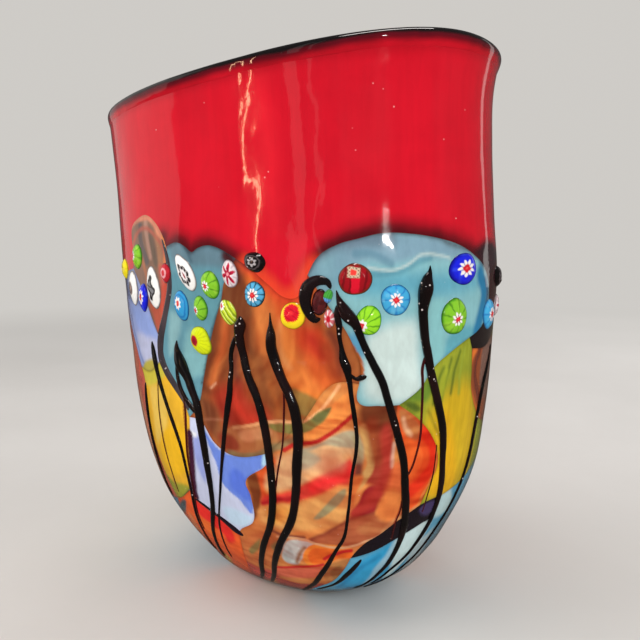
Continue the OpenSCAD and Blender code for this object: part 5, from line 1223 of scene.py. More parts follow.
def disc_paint(kind, x, y, seed):
    """Colour (linear) over the unit disc for one kind of slice."""
    rng = np.random.RandomState(seed)
    n = len(x)
    p3 = np.stack([x * 10 + seed * 3.1, y * 10, np.zeros(n)], -1)
    jx, jy = 0.035 * noise(p3, 2.2, seed), 0.035 * noise(p3, 2.2, seed + 5)
    x, y = x + jx, y + jy
    r = np.hypot(x, y)

    def col(c):
        return np.repeat(lin(c)[None], n, 0)

    def put(rgb, m, c):
        m = np.clip(m, 0, 1)[:, None]
        return rgb * (1 - m) + lin(c) * m

    def flower(rgb, cx, cy, size, ring=(240, 234, 232), heart=(206, 26, 44), lobes=8, dark=None):
        rx, ry = (x - cx) / size, (y - cy) / size
        rr, aa = np.hypot(rx, ry), np.arctan2(ry, rx)
        turn = rng.rand() * 2
        rgb = put(rgb, ease(star(rr, aa, lobes, 1.0, 0.16, turn), 0, 0.12), ring)
        if dark is not None:
            rgb = put(rgb, ease(star(rr, aa, lobes, 0.74, 0.14, turn + 0.35), 0, 0.1) * ease(np.cos(lobes * (aa + turn + 0.35)), 0.3, 0.8), dark)
        rgb = put(rgb, ease(star(rr, aa, lobes // 2, 0.54, 0.10, turn), 0, 0.12), heart)
        rgb = put(rgb, ease(0.22 - rr, 0, 0.1) * 0.7, (238, 90, 80))
        return rgb

    def petals(rgb, cx, cy, lobes, dark, strength=0.8, sharp=0.75):
        aa = np.arctan2(y - cy, x - cx) + 0.05 * rng.rand()
        rr = np.hypot(x - cx, y - cy)
        m = ease(np.cos(lobes * aa), sharp, 0.99) * ease(rr, 0.3, 0.55)
        return put(rgb, m * strength, dark)

    if kind.startswith("green"):
        cx, cy = {"green": (0, 0), "green_l": (-0.32, 0.05), "green_ll": (-0.5, -0.1), "green_b": (0.02, -0.14)}[kind]
        rgb = col((128, 192, 44))
        rgb = put(rgb, ease(r, 0.80, 0.95), (74, 150, 34))
        rgb = petals(rgb, cx, cy, 9, (70, 128, 30), 0.85)
        rgb = put(rgb, ease(noise(p3, 3.4, seed + 9), 0.1, 0.8) * 0.35, (176, 214, 70))
        return flower(rgb, cx, cy, 0.36, dark=(60, 20, 30))
    if kind == "lime":
        rgb = col((212, 224, 24))
        rgb = put(rgb, ease(r, 0.82, 0.98), (176, 196, 22))
        rgb = petals(rgb, -0.3, 0.1, 22, (176, 188, 20), 0.6, 0.5)
        rr = np.hypot((x + 0.34) / 0.34, (y - 0.1) / 0.40)
        rgb = put(rgb, ease(1.25 - rr, 0, 0.3) * 0.6, (214, 130, 30))
        rgb = put(rgb, ease(1.0 - rr, 0, 0.18), (160, 22, 40))
        return put(rgb, ease(0.5 - rr, 0, 0.3) * 0.6, (110, 10, 24))
    if kind == "lime_striped":
        rgb = col((196, 214, 40))
        m = ease(np.sin(x * 13 + y * 3), 0.2, 0.8)
        rgb = put(rgb, m * 0.85, (104, 132, 30))
        rgb = put(rgb, ease(np.sin(x * 13 + y * 3 + 2.2), 0.7, 0.95) * 0.7, (232, 240, 150))
        return flower(rgb, -0.25, 0.62, 0.36, heart=(190, 40, 70))
    if kind == "lime_left":
        rgb = col((146, 214, 40))
        rgb = put(rgb, ease(r, 0.84, 0.98), (80, 170, 36))
        rgb = petals(rgb, -0.55, -0.35, 14, (70, 140, 26), 0.85, 0.6)
        return flower(rgb, -0.55, -0.35, 0.42, heart=(206, 26, 44))
    if kind == "light_blue":
        rgb = col((66, 164, 212))
        rgb = put(rgb, ease(r, 0.80, 0.97), (44, 130, 190))
        rgb = petals(rgb, 0.0, 0.0, 8, (34, 112, 186), 0.75, 0.7)
        rgb = put(rgb, ease(noise(p3, 3.0, seed + 9), 0.1, 0.8) * 0.35, (130, 200, 226))
        return flower(rgb, 0.0, 0.0, 0.42, dark=(110, 130, 170), lobes=9)
    if kind == "light_blue_dark":
        rgb = col((84, 168, 210))
        rgb = petals(rgb, 0.0, 0.0, 10, (20, 50, 70), 0.95, 0.6)
        rgb = put(rgb, ease(r, 0.84, 0.96), (28, 66, 78))
        return flower(rgb, 0.0, -0.05, 0.50, dark=(30, 26, 40), lobes=9)
    if kind == "light_blue_left":
        rgb = col((52, 152, 206))
        rgb = put(rgb, ease(np.abs(r - 0.72), 0.12, 0.0) * 0.7, (24, 100, 176))
        rgb = put(rgb, ease(r, 0.88, 0.98), (30, 110, 176))
        return flower(rgb, -0.1, 0.18, 0.40, heart=(204, 40, 40))
    if kind == "royal":
        rgb = col((26, 34, 214))
        rgb = put(rgb, ease(r, 0.72, 1.0), (12, 16, 150))
        rgb = put(rgb, ease(noise(p3, 3.2, seed + 9), 0.2, 0.9) * 0.4, (60, 90, 236))
        return flower(rgb, 0.0, 0.05, 0.50, lobes=9, dark=(150, 150, 200))
    if kind.startswith("white"):
        rgb = col((243, 241, 238))
        rgb = put(rgb, ease(r, 0.90, 1.0), (120, 110, 110))
        if kind == "white_grey":
            rr = np.hypot((x + 0.05) / 0.52, y / 0.42)
            rgb = put(rgb, ease(1.0 - rr, 0, 0.2), (128, 112, 108))
            rgb = put(rgb, ease(np.sin(rr * 14), 0.2, 0.9) * (rr < 0.95) * 0.6, (70, 58, 60))
            return put(rgb, ease(0.4 - rr, 0, 0.2), (176, 130, 110))
        if kind == "white_squiggle":
            wobx = x + 0.16 * np.sin(y * 9)
            rgb = put(rgb, ease(1 - np.hypot(wobx / 0.48, y / 0.62), 0, 0.14), (38, 34, 38))
            rgb = put(rgb, ease(1 - np.hypot(wobx / 0.26, y / 0.42), 0, 0.2) * 0.8, (128, 126, 130))
            return put(rgb, ease(np.sin(y * 22 + x * 9), 0.5, 0.95) * (np.hypot(wobx / 0.48, y / 0.62) < 0.9) * 0.8, (20, 16, 20))
        rr = np.hypot(x / 0.58, (y + 0.06) / 0.60)
        aa = np.arctan2(y + 0.06, x)
        rgb = put(rgb, ease(star(rr, aa, 7, 1.0, 0.08), 0, 0.12), (34, 26, 30))
        rgb = put(rgb, ease(star(rr, aa, 7, 0.62, 0.1), 0, 0.12), (232, 226, 226))
        rgb = put(rgb, ease(np.sin(aa * 9), 0.6, 0.95) * (rr < 0.9) * (rr > 0.5) * 0.8, (200, 190, 190))
        return put(rgb, ease(0.24 - np.hypot(x / 0.5, y + 0.06), 0, 0.12), (150, 30, 44))
    if kind == "yellow":
        return put(col((236, 216, 30)), ease(noise(p3, 3, seed), 0, 0.8) * 0.4, (206, 186, 30))
    if kind == "yellow_ring":
        rgb = col((244, 214, 34))
        rgb = put(rgb, ease(r, 0.86, 0.98) * 0.7, (214, 150, 24))
        rr = np.hypot((x + 0.02) / 0.66, (y - 0.22) / 0.66)
        aa = np.arctan2(y - 0.22, x)
        rr = rr + 0.06 * np.sin(26 * aa) * ease(rr, 0.6, 1.0)
        rgb = put(rgb, ease(1.1 - rr, 0, 0.2), (238, 110, 30))
        rgb = put(rgb, ease(0.98 - rr, 0, 0.1), (214, 24, 44))
        rgb = put(rgb, ease(np.sin(y * 16 + x * 10), 0.5, 0.95) * (rr < 0.85) * 0.5, (150, 12, 30))
        return put(rgb, ease(0.4 - rr, 0, 0.3) * 0.6, (240, 60, 60))
    if kind == "star":
        rgb = col((226, 214, 218))
        rgb = put(rgb, ease(r, 0.86, 0.98) * 0.85, (130, 110, 116))
        aa = np.arctan2(y, x)
        rgb = put(rgb, ease(star(r, aa, 6, 0.62, 0.45), 0, 0.14), (186, 26, 62))
        rgb = put(rgb, ease(np.cos(6 * aa), 0.7, 0.98) * (r < 0.5) * 0.8, (60, 12, 26))
        rgb = put(rgb, ease(0.2 - r, 0, 0.1), (240, 150, 160))
        return put(rgb, ease(np.cos(6 * aa + 3.14), 0.75, 0.98) * ease(r, 0.5, 0.7) * 0.6, (180, 150, 160))
    if kind == "red_ring":
        rgb = col((186, 34, 48))
        rgb = put(rgb, ease(r, 0.82, 0.97), (120, 16, 28))
        rgb = put(rgb, ease(0.56 - r, 0, 0.1), (228, 160, 164))
        return put(rgb, ease(0.34 - r, 0, 0.1), (196, 40, 52))
    if kind == "small_flower":
        rgb = col((214, 110, 116))
        rgb = petals(rgb, 0, 0, 7, (240, 232, 230), 0.95, 0.2)
        return put(rgb, ease(0.42 - r, 0, 0.15), (190, 24, 44))
    if kind == "small_green":
        rgb = col((70, 160, 60))
        rgb = put(rgb, ease(-y, 0.1, 0.4), (92, 150, 220))
        return put(rgb, ease(np.sin(x * 14), 0.3, 0.9) * 0.5, (30, 100, 40))
    if kind == "dark_red":
        rgb = col((150, 14, 26))
        m = ease(np.abs(np.sin((x - 0.05 * y) * 7.5)), 0.75, 0.99)
        rgb = put(rgb, m * 0.7, (92, 8, 16))
        rgb = put(rgb, ease(0.28 - np.abs(x - 0.05), 0, 0.08) * ease(-y, -0.25, 0.0), (214, 18, 44))
        rgb = put(rgb, ease(r, 0.84, 0.95), (112, 46, 26))
        q = np.maximum(np.abs(x + 0.12), np.abs(y - 0.42) * 1.1)
        rgb = put(rgb, ease(0.40 - q, 0, 0.06) * 0.9, (214, 190, 160))
        rgb = put(rgb, ease(np.sin(x * 30) * np.sin(y * 30), 0.1, 0.5) * (q < 0.38) * (q > 0.2) * 0.85, (70, 40, 36))
        return put(rgb, ease(0.2 - q, 0, 0.06), (232, 64, 56))
    if kind == "bead":
        rgb = col((14, 9, 10))
        rgb = put(rgb, ease(0.09 - np.abs(r - 0.64), 0, 0.09) * 0.75, (96, 84, 88))
        aa = np.arctan2(y, x)
        rgb = put(rgb, ease(star(r, aa, 6, 0.42, 0.2, 0.4), 0, 0.12) * 0.85, (186, 178, 180))
        return put(rgb, ease(star(r, aa, 6, 0.24, 0.1), 0, 0.1), (34, 20, 24))
    if kind == "lump":
        rgb = col((86, 28, 30))
        rgb = put(rgb, ease(noise(p3, 4, seed), -0.1, 0.8) * 0.7, (52, 16, 20))
        return put(rgb, ease(r, 0.7, 0.98), (34, 12, 16))
    raise ValueError(kind)


# kind, angle, height, width, height, tilt, rise, pointed end (strength, direction)
MURRINE = {
    "green_murrine": [("green_l", -121, 210, 13, 15, -12), ("green_l", -92, 191.5, 13.4, 15.6, 25), ("green_ll", -95.5, 178.6, 10.6, 14, 10),
        ("green_b", -22, 170.6, 17.4, 19, 0), ("green", 44, 188, 13, 15, 10), ("green_l", 128, 190, 13, 14, -15)],
    "lime_murrine": [("lime", -96.5, 160.5, 15.6, 17.5, 20), ("lime_striped", -87.3, 176.6, 10.5, 14.6, 24), ("lime_left", -50.6, 171.6, 13, 14.8, 0),
        ("lime", 74, 171, 13, 15, -15), ("lime", 172, 176, 13, 16, 10)],
    "light_blue_murrine": [("light_blue_left", -102, 180, 12.4, 17.5, 10), ("light_blue_dark", -79.6, 186, 12.6, 13.8, 0),
        ("light_blue", -43, 181, 14.6, 15.8, 0), ("light_blue", 0, 169, 17, 17, 0), ("light_blue_dark", 100, 190, 14, 15, 0),
        ("light_blue", 163, 193, 13, 15, 10)],
    "royal_blue_murrine": [("royal", -119.3, 184.5, 11.4, 18, -8), ("royal", -18, 193.6, 20.5, 16.4, 0), ("royal", 58, 184, 13, 14, 0),
        ("royal", 178, 195, 13, 15, 0)],
    "white_eye_murrine": [("white_grey", -126.2, 190.5, 12.6, 22, 0), ("white_squiggle", -112.9, 190.5, 13.6, 25.5, 8),
        ("white", -99.2, 197.6, 12.4, 22, 30), ("white", 84, 196, 13, 20, 20), ("white_squiggle", 146, 184, 12, 19, -15)],
    "yellow_murrine": [("yellow", -134, 203, 12, 13, 0), ("yellow_ring", -70.2, 174.6, 14.2, 14.2, 0), ("yellow_ring", 112, 180, 12, 13, 0),
        ("yellow", 200, 188, 12, 13, 0)],
    "red_star_murrine": [("red_ring", -106.8, 199, 9.6, 11.6, 0), ("star", -86, 197, 11, 15.2, 14), ("small_flower", -61, 173, 6, 9.4, 0),
        ("small_green", -61.2, 184, 5, 7.4, -20), ("star", 16, 172, 12, 13, 0), ("red_ring", 136, 200, 11, 12, 0)],
    "dark_red_murrine": [("dark_red", -54, 191.8, 16.8, 16, -8), ("dark_red", 70, 194, 14, 14, 0)],
    "black_bead": [("bead", -79, 202.6, 13.6, 10.4, -14), ("bead", 10, 188, 12, 12, 0)],
}
POINTED = {(-96.5, 160.5): (0.2, -55), (-99.2, 197.6): (0.34, 95), (84, 196): (0.25, 100), (74, 171): (0.2, -60), (172, 176): (0.2, -60)}


def slice_of(kind, a, h, w, t_, tilt, rise, seed, rings=26, sides=80):
    rng = np.random.RandomState(seed)
    rr = np.linspace(0, 1, rings + 1)[1:] ** 0.9
    th = np.arange(sides) * 2 * math.pi / sides
    R, A = np.meshgrid(rr, th, indexing="ij")
    wave = 1 + 0.02 * np.cos(2 * A + rng.rand() * 6) + 0.018 * np.cos(3 * A + rng.rand() * 6) + 0.01 * np.cos(5 * A + rng.rand() * 6)
    if (a, h) in POINTED:
        k, d = POINTED[(a, h)]
        wave = wave + k * np.clip(np.cos(A - math.radians(d)), 0, 1) ** 7 - 0.05
    x, y = R * np.cos(A), R * np.sin(A)
    u, v = x * wave * w / 2, y * wave * t_ / 2
    c, s = math.cos(math.radians(tilt)), math.sin(math.radians(tilt))
    ka = np.linalg.norm(surf(a + 0.2, h) - surf(a - 0.2, h)) / 0.4
    kh = np.linalg.norm(surf(a, h + 0.6) - surf(a, h - 0.6)) / 1.2
    ta = a + (u * c - v * s) / ka
    hh = h + (u * s + v * c) / kh
    dome = rise * (1 - R ** 3.2) * (1 + 0.10 * noise(np.stack([x * 9, y * 9, x * 0 + seed], -1), 3, seed)) + 0.12 * (1 - R ** 8)
    lobes = {"green": 9, "light": 8, "royal": 9, "star": 6, "lime": 10, "small": 7}.get(kind[:5].rstrip("_"), 0)
    if lobes:
        dome = dome - 0.10 * ease(R, 0.3, 0.6) * (1 - R ** 4) * (0.5 + 0.5 * np.cos(lobes * A))
    top = at(ta, hh, dome)
    skirt = at(ta[-1], hh[-1], np.full(sides, -0.35))
    centre = at(np.array([a]), np.array([h]), np.array([rise + 0.12]))
    base = at(np.array([a]), np.array([h]), np.array([-0.35]))
    verts = np.concatenate([top.reshape(-1, 3), skirt, centre, base])
    idx = np.arange(rings * sides).reshape(rings, sides)
    sk = rings * sides + np.arange(sides)
    a0, b0 = idx[:-1], idx[1:]
    quads = np.stack([a0, b0, np.roll(b0, -1, 1), np.roll(a0, -1, 1)], -1).reshape(-1, 4)
    quads = np.concatenate([quads, np.stack([idx[-1], sk, np.roll(sk, -1), np.roll(idx[-1], -1)], -1)])
    cI, bI = len(verts) - 2, len(verts) - 1
    tris = np.concatenate([np.stack([np.full(sides, cI), idx[0], np.roll(idx[0], -1)], 1),
                           np.stack([np.full(sides, bI), np.roll(sk, -1), sk], 1)])
    px = np.concatenate([x.ravel(), x[-1] * 1.0, [0], [0]])
    py = np.concatenate([y.ravel(), y[-1] * 1.0, [0], [0]])
    rgb = disc_paint(kind, px, py, seed)
    edge_tone = {"white": (96, 84, 84), "star_": (110, 90, 96)}.get(kind[:5].ljust(5, "_"), None)
    rim_r = np.hypot(px, py)
    shade = ease(rim_r, 0.90, 0.995)[:, None]
    tone = lin(edge_tone) if edge_tone else rgb * 0.22
    return verts, tris, quads, rgb * (1 - 0.85 * shade) + tone * 0.85 * shade


slice_glass = glass("murrine_glass", mottle=0.06, streak=0.03, bubbles=0.6, bump=0.45, wave=0.25, rough=(0.05, 0.12), streak_dir=(1, 1, 1))
bead_glass = glass("bead_glass", seeds=(340.0, 0.12, 0.2, 0.46), seed_glint_tone=0.6, mottle=0.2, streak=0.05, bubbles=0.9, bump=0.8, wave=0.7, rough=(0.04, 0.09), streak_dir=(1, 1, 1))
num = 100
for node_name, items in MURRINE.items():
    parts = []
    for it in items:
        num += 1
        rise = 2.6 if node_name == "black_bead" else 2.0
        parts.append(slice_of(*it, rise, num))
    v, tr, q, col = joined(parts)
    place(make_mesh(node_name + "_glass", v, tr, q, None, col), node_name, bead_glass if node_name == "black_bead" else slice_glass)

CRESCENT = [[-60.4, 187.6, 1.6], [-61.2, 191, 3.4], [-63.6, 192, 5.4], [-65.9, 189.4, 6.4], [-66.9, 183.5, 6.2], [-66.4, 177, 5.4], [-64.8, 172.9, 4.4], [-63.2, 173, 2.4]]
crescent = tube(CRESCENT, height=0.36, seed=90, lumps=0.12, colours=((16, 10, 12), (40, 16, 20)))
heart = slice_of("lump", -63.3, 181.2, 8.6, 13.5, -6, 1.9, 140)
v, tr, q, col = joined([crescent, heart])
place(make_mesh("crescent_bead_glass", v, tr, q, None, col), "crescent_bead", bead_glass)

# ---------------------------------------------------------------- rim wrap
def lip():
    wi = -WALL
    lo = HEIGHT - WRAP
    sec = np.array([[lo, -SKIN], [lo, -0.06], [lo + 0.8, 0.12], [lo + 2, 0.4], [lo + 4, 0.75], [lo + 5.8, 0.85], [lo + 7.2, 0.35], [lo + 8.2, -0.9],
                    [lo + 8.6, -3.2], [lo + 8.3, -5.8], [lo + 7.3, wi - 0.2], [lo + 5.4, wi - 0.9], [lo + 3.4, wi - 0.9], [lo + 1.9, wi - 0.5],
                    [lo + 1.5, wi + 0.1], [lo + 6.0, wi + 0.1], [lo + 6.0, -SKIN]])
    body = rounded(sec[1:15], False, 4)
    s = np.concatenate([sec[:1], body, sec[15:]])
    n = 432
    t = np.linspace(0, 360, n, endpoint=False)
    T = np.repeat(t[:, None], len(s), 1)
    H = np.repeat(s[None, :, 0], n, 0)
    O = np.repeat(s[None, :, 1], n, 0)
    base = surf(T, H)
    nr = normal(T, np.minimum(H, 304.5))
    uneven = 0.30 * noise(base, (30, 30, 30), 71) + 0.12 * noise(base, (9, 9, 9), 73)
    outer = ease(O, -6, 0.5)
    O = O + uneven * (H > lo + 0.3) * (0.4 + 0.6 * outer)
    H2 = H + 0.35 * noise(base, (45, 45, 45), 75) * (H > lo + 5)
    v = surf(T, H2) + O[..., None] * nr
    k = len(s)
    idx = np.arange(n * k).reshape(n, k)
    a, b = idx, np.roll(idx, -1, 0)
    quads = np.stack([a, b, np.roll(b, -1, 1), np.roll(a, -1, 1)], -1).reshape(-1, 4)
    p = v.reshape(-1, 3)
    hh = H.ravel() + 0.8 * noise(p, 22, 77) + 0.35 * noise(p, 6, 79)
    f = ease(hh, lo + 4.9, lo + 6.6)[:, None]
    deep = ease(hh, lo + 1.0, lo + 4.9)[:, None]
    red = lin((181, 12, 31)) * (1 - deep) + lin((88, 7, 22)) * deep
    col = red * (1 - f) + lin((15, 12, 13)) * f
    inner = ease(-O.ravel(), 5.5, 8.0)[:, None]
    col = col * (1 - 0.5 * inner) + lin((20, 12, 14)) * 0.5 * inner
    # faces look outward
    mid = p[quads].mean(1)
    nrm = np.cross(p[quads[:, 1]] - p[quads[:, 0]], p[quads[:, 3]] - p[quads[:, 0]])
    ringmid = v.mean(1)
    if np.sum(np.einsum("ij,ij->i", nrm, mid - np.repeat(ringmid, k, 0))) < 0:
        quads = quads[:, ::-1]
    obj = make_mesh("lip_wrap_glass", p, np.zeros((0, 3), int), quads, None, col)
    return place(obj, "lip_wrap", glass("lip_glass", mottle=0.15, streak=0.06, bubbles=0.3, bump=0.25, wave=0.4, rough=(0.04, 0.10), streak_dir=(0.3, 0.3, 1)))


lip()

# ---------------------------------------------------------------- inner gather
def gather():
    core = -SKIN - 0.12
    outer = [[0, -1.6], [0.0, -0.35], [0.35, -0.05], [0.9, 0.0], [1.2, -0.2], [1.25, core]] + [[x, core] for x in (4, 8, 14, 22, 32, 46, 64, 84, 106, 130, 156, 184, 212, 240, 268, 296, 302.9)]
    inner = [[x, -WALL] for x in (302.9, 298, 292, 284, 274, 262, 248, 232, 214, 196, 176, 156, 136, 118, 100, 84, 70, 58, 48)] + \
        [[40, -WALL - 0.4], [33, -WALL - 0.9], [27, -WALL - 1.6], [22.5, -WALL - 3]]
    n = 300
    t = np.linspace(0, 360, n, endpoint=False)
    rows = []
    for h, o in outer:
        base = surf(t, np.full(n, float(max(h, 0))))
        rows.append(base + (np.full(n, o) + (relief(t, np.full(n, float(h))) if h > 2 else 0))[:, None] * normal(t, np.full(n, float(max(h, 0)))))
    foot_mid = np.array([smooth(2, np.array([0.0]))[0], 0])
    # the ground underside: level, a little dished at the middle
    r0 = rows[0].copy()
    under = []
    for f, z in ((0.92, 0.0), (0.84, 0.25), (0.6, 0.7), (0.3, 0.9), (0.08, 1.0)):
        q = r0.copy()
        q[:, :2] = foot_mid + (r0[:, :2] - foot_mid) * f
        q[:, 2] = z
        under.append(q)
    for r in rows[:2]:
        r[:, 2] = 0.0
    for h, o in inner:
        hh = np.full(n, float(h))
        base = surf(t, hh)
        thick = 0.35 * noise(base, (40, 40, 60), 91) * ease(302 - hh, 0, 30)
        rows.append(base + (o - thick)[:, None] * normal(t, hh))
    last = rows[-1]
    mid = np.array([last[:, 0].mean(), 0.0])
    for f, z in ((0.93, 19.4), (0.84, 17.2), (0.70, 15.6), (0.50, 14.6), (0.28, 14.1), (0.08, 14.0)):
        q = last.copy()
        q[:, :2] = mid + (last[:, :2] - mid) * f
        q[:, 2] = z + 0.25 * noise(np.concatenate([q[:, :2], np.zeros((n, 1))], 1), 18, 95)
        rows.append(q)
    allrows = under[::-1] + rows
    v = np.stack(allrows)
    m = len(allrows)
    idx = np.arange(m * n).reshape(m, n)
    a, b = idx[:-1], idx[1:]
    quads = np.stack([a, np.roll(a, -1, 1), np.roll(b, -1, 1), b], -1).reshape(-1, 4)
    p = v.reshape(-1, 3)
    c0, c1 = len(p), len(p) + 1
    p = np.concatenate([p, [v[0].mean(0)], [v[-1].mean(0)]])
    tris = np.concatenate([np.stack([np.full(n, c0), np.roll(idx[0], -1), idx[0]], 1),
                           np.stack([np.full(n, c1), idx[-1], np.roll(idx[-1], -1)], 1)])
    # colour: deep red inside, with painted shade darkening it down the throat, dark foot
    k0 = len(under) + len(outer)
    rowid = np.concatenate([np.repeat(np.arange(m), n), [0, m - 1]])
    z = p[:, 2]
    # painted shade: the inside red is darkest low in the throat and brightens towards the mouth
    depth = ease(z, 30, 270)[:, None]
    inside_with_painted_shade = lin((96, 14, 24)) * (1 - depth) + lin((186, 20, 34)) * depth
    warm = lin((150, 70, 46)) * (1 - depth) + lin((196, 30, 36)) * depth
    f = ease(fbm(p, (34, 34, 60), 97), -0.25, 0.55)[:, None]
    inside_with_painted_shade = inside_with_painted_shade * (1 - 0.7 * f) + warm * 0.7 * f
    foot = lin((70, 40, 34))[None] * drift(p, 14, 99, 0.3)[:, None]
    col = np.where((rowid >= k0)[:, None], inside_with_painted_shade, foot)
    obj = make_mesh("inner_gather_glass", p, tris, quads, None, col)
    return place(obj, "inner_gather", glass("gather_glass", mottle=0.14, streak=0.08, bubbles=0.8, bump=0.25, wave=0.5, rough=(0.05, 0.13), streak_dir=(1, 1, 0.15)))


gather()

# ---------------------------------------------------------------- stage, light, camera
WORLD_TONE = (0.62, 0.60, 0.57)


def stage():
    mesh = bpy.data.meshes.new("floor")
    import bmesh
    bm = bmesh.new()
    rings = [0.0, 0.25, 0.5, 0.8, 1.2, 1.8, 2.8, 4.5, 8, 16, 40]
    prev = None
    for r in rings:
        ring = [bm.verts.new((r * math.cos(k * math.pi / 32), r * math.sin(k * math.pi / 32), 0)) for k in range(64)] if r else [bm.verts.new((0, 0, 0))]
        if prev is not None:
            for k in range(64):
                if len(prev) == 1:
                    bm.faces.new((prev[0], ring[k], ring[(k + 1) % 64]))
                else:
                    bm.faces.new((prev[k], ring[k], ring[(k + 1) % 64], prev[(k + 1) % 64]))
        prev = ring
    bm.to_mesh(mesh)
    bm.free()
    obj = bpy.data.objects.new("floor", mesh)
    bpy.context.scene.collection.objects.link(obj)
    m, nt, b = new_material("floor_pale")
    vec = squashed(nt, (1, 1, 1))
    a = noise_node(nt, vec, 3.0, 4.0)
    g = noise_node(nt, vec, 90.0, 3.0)
    c = mix_colour(nt, ramp(nt, a, 0.3, 0.7), (0.54, 0.52, 0.50, 1), (0.58, 0.56, 0.54, 1))
    c = mix_colour(nt, ramp(nt, g, 0.3, 0.7, 0.0, 0.06), c, (0.5, 0.49, 0.47, 1))
    nt.links.new(c, b.inputs["Base Color"])
    b.inputs["Roughness"].default_value = 0.55
    em = nt.nodes.new("ShaderNodeEmission")
    em.inputs["Color"].default_value = (*WORLD_TONE, 1)
    em.inputs["Strength"].default_value = 1.0
    ln = nt.nodes.new("ShaderNodeVectorMath")
    ln.operation = "LENGTH"
    nt.links.new(vec, ln.inputs[0])
    far = ramp(nt, ln.outputs["Value"], 0.5, 2.0)
    mx = nt.nodes.new("ShaderNodeMixShader")
    nt.links.new(far, mx.inputs[0])
    nt.links.new(b.outputs[0], mx.inputs[1])
    nt.links.new(em.outputs[0], mx.inputs[2])
    low = nt.nodes.new("ShaderNodeEmission")
    low.inputs["Color"].default_value = (0.16, 0.13, 0.11, 1)
    low.inputs["Strength"].default_value = 0.5
    path = nt.nodes.new("ShaderNodeLightPath")
    my = nt.nodes.new("ShaderNodeMixShader")
    nt.links.new(path.outputs["Is Glossy Ray"], my.inputs[0])
    nt.links.new(mx.outputs[0], my.inputs[1])
    nt.links.new(low.outputs[0], my.inputs[2])
    out = [x for x in nt.nodes if x.type == "OUTPUT_MATERIAL"][0]
    nt.links.new(my.outputs[0], out.inputs["Surface"])
    mesh.materials.append(m)
    return obj


stage()

world = bpy.data.worlds.new("studio")
bpy.context.scene.world = world
world.use_nodes = True
wn = world.node_tree
bg = wn.nodes["Background"]
bg.inputs["Color"].default_value = (*WORLD_TONE, 1)
bg.inputs["Strength"].default_value = 1.0
soft = wn.nodes.new("ShaderNodeBackground")
soft.inputs["Color"].default_value = (0.90, 0.89, 0.88, 1)
soft.inputs["Strength"].default_value = 0.46
dim = wn.nodes.new("ShaderNodeBackground")
dim.inputs["Color"].default_value = (0.80, 0.79, 0.77, 1)
dim.inputs["Strength"].default_value = 0.10
mixg = wn.nodes.new("ShaderNodeMixShader")
lp = wn.nodes.new("ShaderNodeLightPath")
mixw = wn.nodes.new("ShaderNodeMixShader")
wn.links.new(lp.outputs["Is Camera Ray"], mixw.inputs[0])
wn.links.new(lp.outputs["Is Glossy Ray"], mixg.inputs[0])
wn.links.new(soft.outputs[0], mixg.inputs[1])
wn.links.new(dim.outputs[0], mixg.inputs[2])
wn.links.new(mixg.outputs[0], mixw.inputs[1])
wn.links.new(bg.outputs[0], mixw.inputs[2])
wn.links.new(mixw.outputs[0], [x for x in wn.nodes if x.type == "OUTPUT_WORLD"][0].inputs["Surface"])


def area(name, pos, target, size, power, colour=(1, 1, 1), shape="RECTANGLE", glossy=True):
    d = bpy.data.lights.new(name, "AREA")
    d.shape = shape
    d.size = size[0]
    d.size_y = size[1]
    d.energy = power
    d.color = colour
    o = bpy.data.objects.new(name, d)
    bpy.context.scene.collection.objects.link(o)
    from mathutils import Vector
    p, q = Vector(pos), Vector(target)
    o.location = p
    o.rotation_euler = (q - p).to_track_quat("-Z", "Y").to_euler()
    o.visible_camera = False
    o.visible_glossy = glossy
    return o


CAM = (0.2296, -0.3438, 0.21457)


def bounce(t, h, dist):
    """Where a lamp has to stand for its gleam to show at this spot of the wall."""
    p = at(np.array([float(t)]), np.array([float(h)]))[0] / 1000
    n = normal(np.array([float(t)]), np.array([float(h)]))[0]
    v = unit(np.array(CAM) - p)
    return p + dist * (2 * (n @ v) * n - v), p


area("key", (-1.3, -0.9, 0.9), (0, 0, 0.14), (1.2, 1.4), 16.5, (1.0, 0.985, 0.96), glossy=False)
area("fill_front", (0.9, -1.6, 1.1), (0, 0, 0.15), (1.2, 1.0), 16.5, (1.0, 0.975, 0.94), glossy=False)
area("low_fill", (1.0, -2.0, 0.5), (0, 0, 0.06), (1.2, 0.5), 10, (1.0, 0.985, 0.97), glossy=False)
area("top", (-0.1, -0.2, 1.8), (0, 0, 0), (1.2, 1.2), 10, (1.0, 0.99, 0.97), glossy=False)
area("back", (0.3, 1.6, 0.9), (0, 0, 0.16), (1.4, 1.2), 15, (1.0, 0.99, 0.98), glossy=False)
area("right", (1.7, 0.3, 0.7), (0, 0, 0.16), (1.0, 1.2), 9, (1.0, 0.99, 0.98), glossy=False)
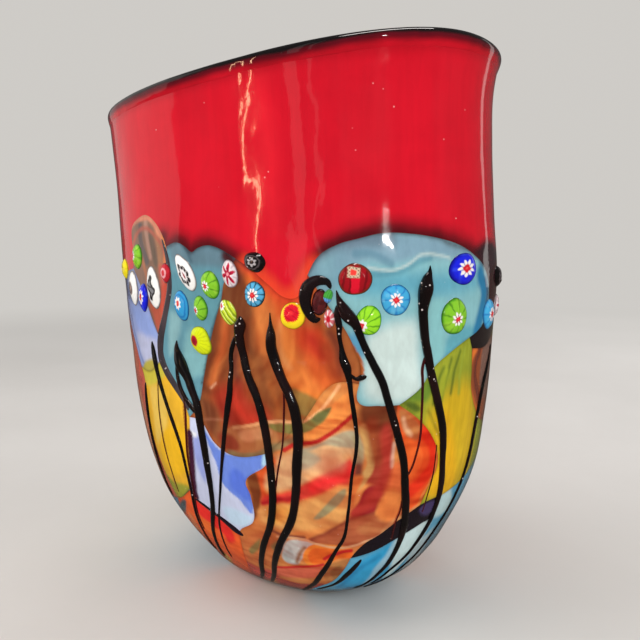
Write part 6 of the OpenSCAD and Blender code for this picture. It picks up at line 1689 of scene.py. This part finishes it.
# gleams only: a pale wall to the left, two faint tall panes, the flash and a thin warm strip
a0, q0 = bounce(-95, 262, 1.5)
side = unit(np.cross(a0 - q0, (0, 0, 1)))
side = side if side[0] < 0 else -side
o = area("wall_gleam", tuple(a0 + side * 0.9), tuple(q0), (1.8, 2.6), 4.6, (1.0, 0.97, 0.93))
o.visible_diffuse = False
a1, q1 = bounce(-67.5, 245, 1.6)
o = area("pane_gleam", tuple(a1), tuple(q1), (0.16, 2.2), 0.35, (1.0, 0.97, 0.93))
o.visible_diffuse = False
a4, q4 = bounce(-62.5, 245, 1.6)
o = area("pane_gleam_2", tuple(a4), tuple(q4), (0.05, 2.0), 0.10, (1.0, 0.97, 0.93))
o.visible_diffuse = False
q5 = at(np.array([-46.0]), np.array([303.0]))[0] / 1000
n5 = unit(0.80 * normal(np.array([-46.0]), np.array([303.0]))[0] + 0.60 * np.array([0, 0, 1.0]))
v5 = unit(np.array(CAM) - q5)
a5 = q5 + 0.9 * (2 * (n5 @ v5) * n5 - v5)
o = area("lip_gleam", tuple(a5), tuple(q5), (0.8, 0.12), 4.5, (1.0, 0.95, 0.92))
o.visible_diffuse = False
o = area("window_back", (0.80, 1.42, 0.62), (0, 0.08, 0.2), (0.16, 1.1), 0.38, (1.0, 0.98, 0.95))
o.visible_diffuse = False
a2, q2 = bounce(-44.5, 216.6, 0.42)
o = area("flash", tuple(a2), tuple(q2), (0.034, 0.003), 0.09, (1, 0.98, 0.95))
o.visible_diffuse = False
a3, q3 = bounce(-76.5, 250, 0.7)
o = area("strip", tuple(a3), tuple(q3), (0.007, 0.34), 0.12, (1.0, 0.62, 0.36))
o.visible_diffuse = False

cam_data = bpy.data.cameras.new("camera")
cam_data.lens = 36.1125
cam_data.sensor_width = 36.0
cam_data.sensor_fit = "HORIZONTAL"
cam_data.clip_start = 0.01
cam_data.clip_end = 100
cam = bpy.data.objects.new("camera", cam_data)
bpy.context.scene.collection.objects.link(cam)
cam.location = CAM
cam.rotation_euler = (math.radians(90 - 6.94), 0, math.radians(32))
bpy.context.scene.camera = cam
bpy.context.scene.view_settings.view_transform = "Standard"
bpy.context.scene.view_settings.look = "None"
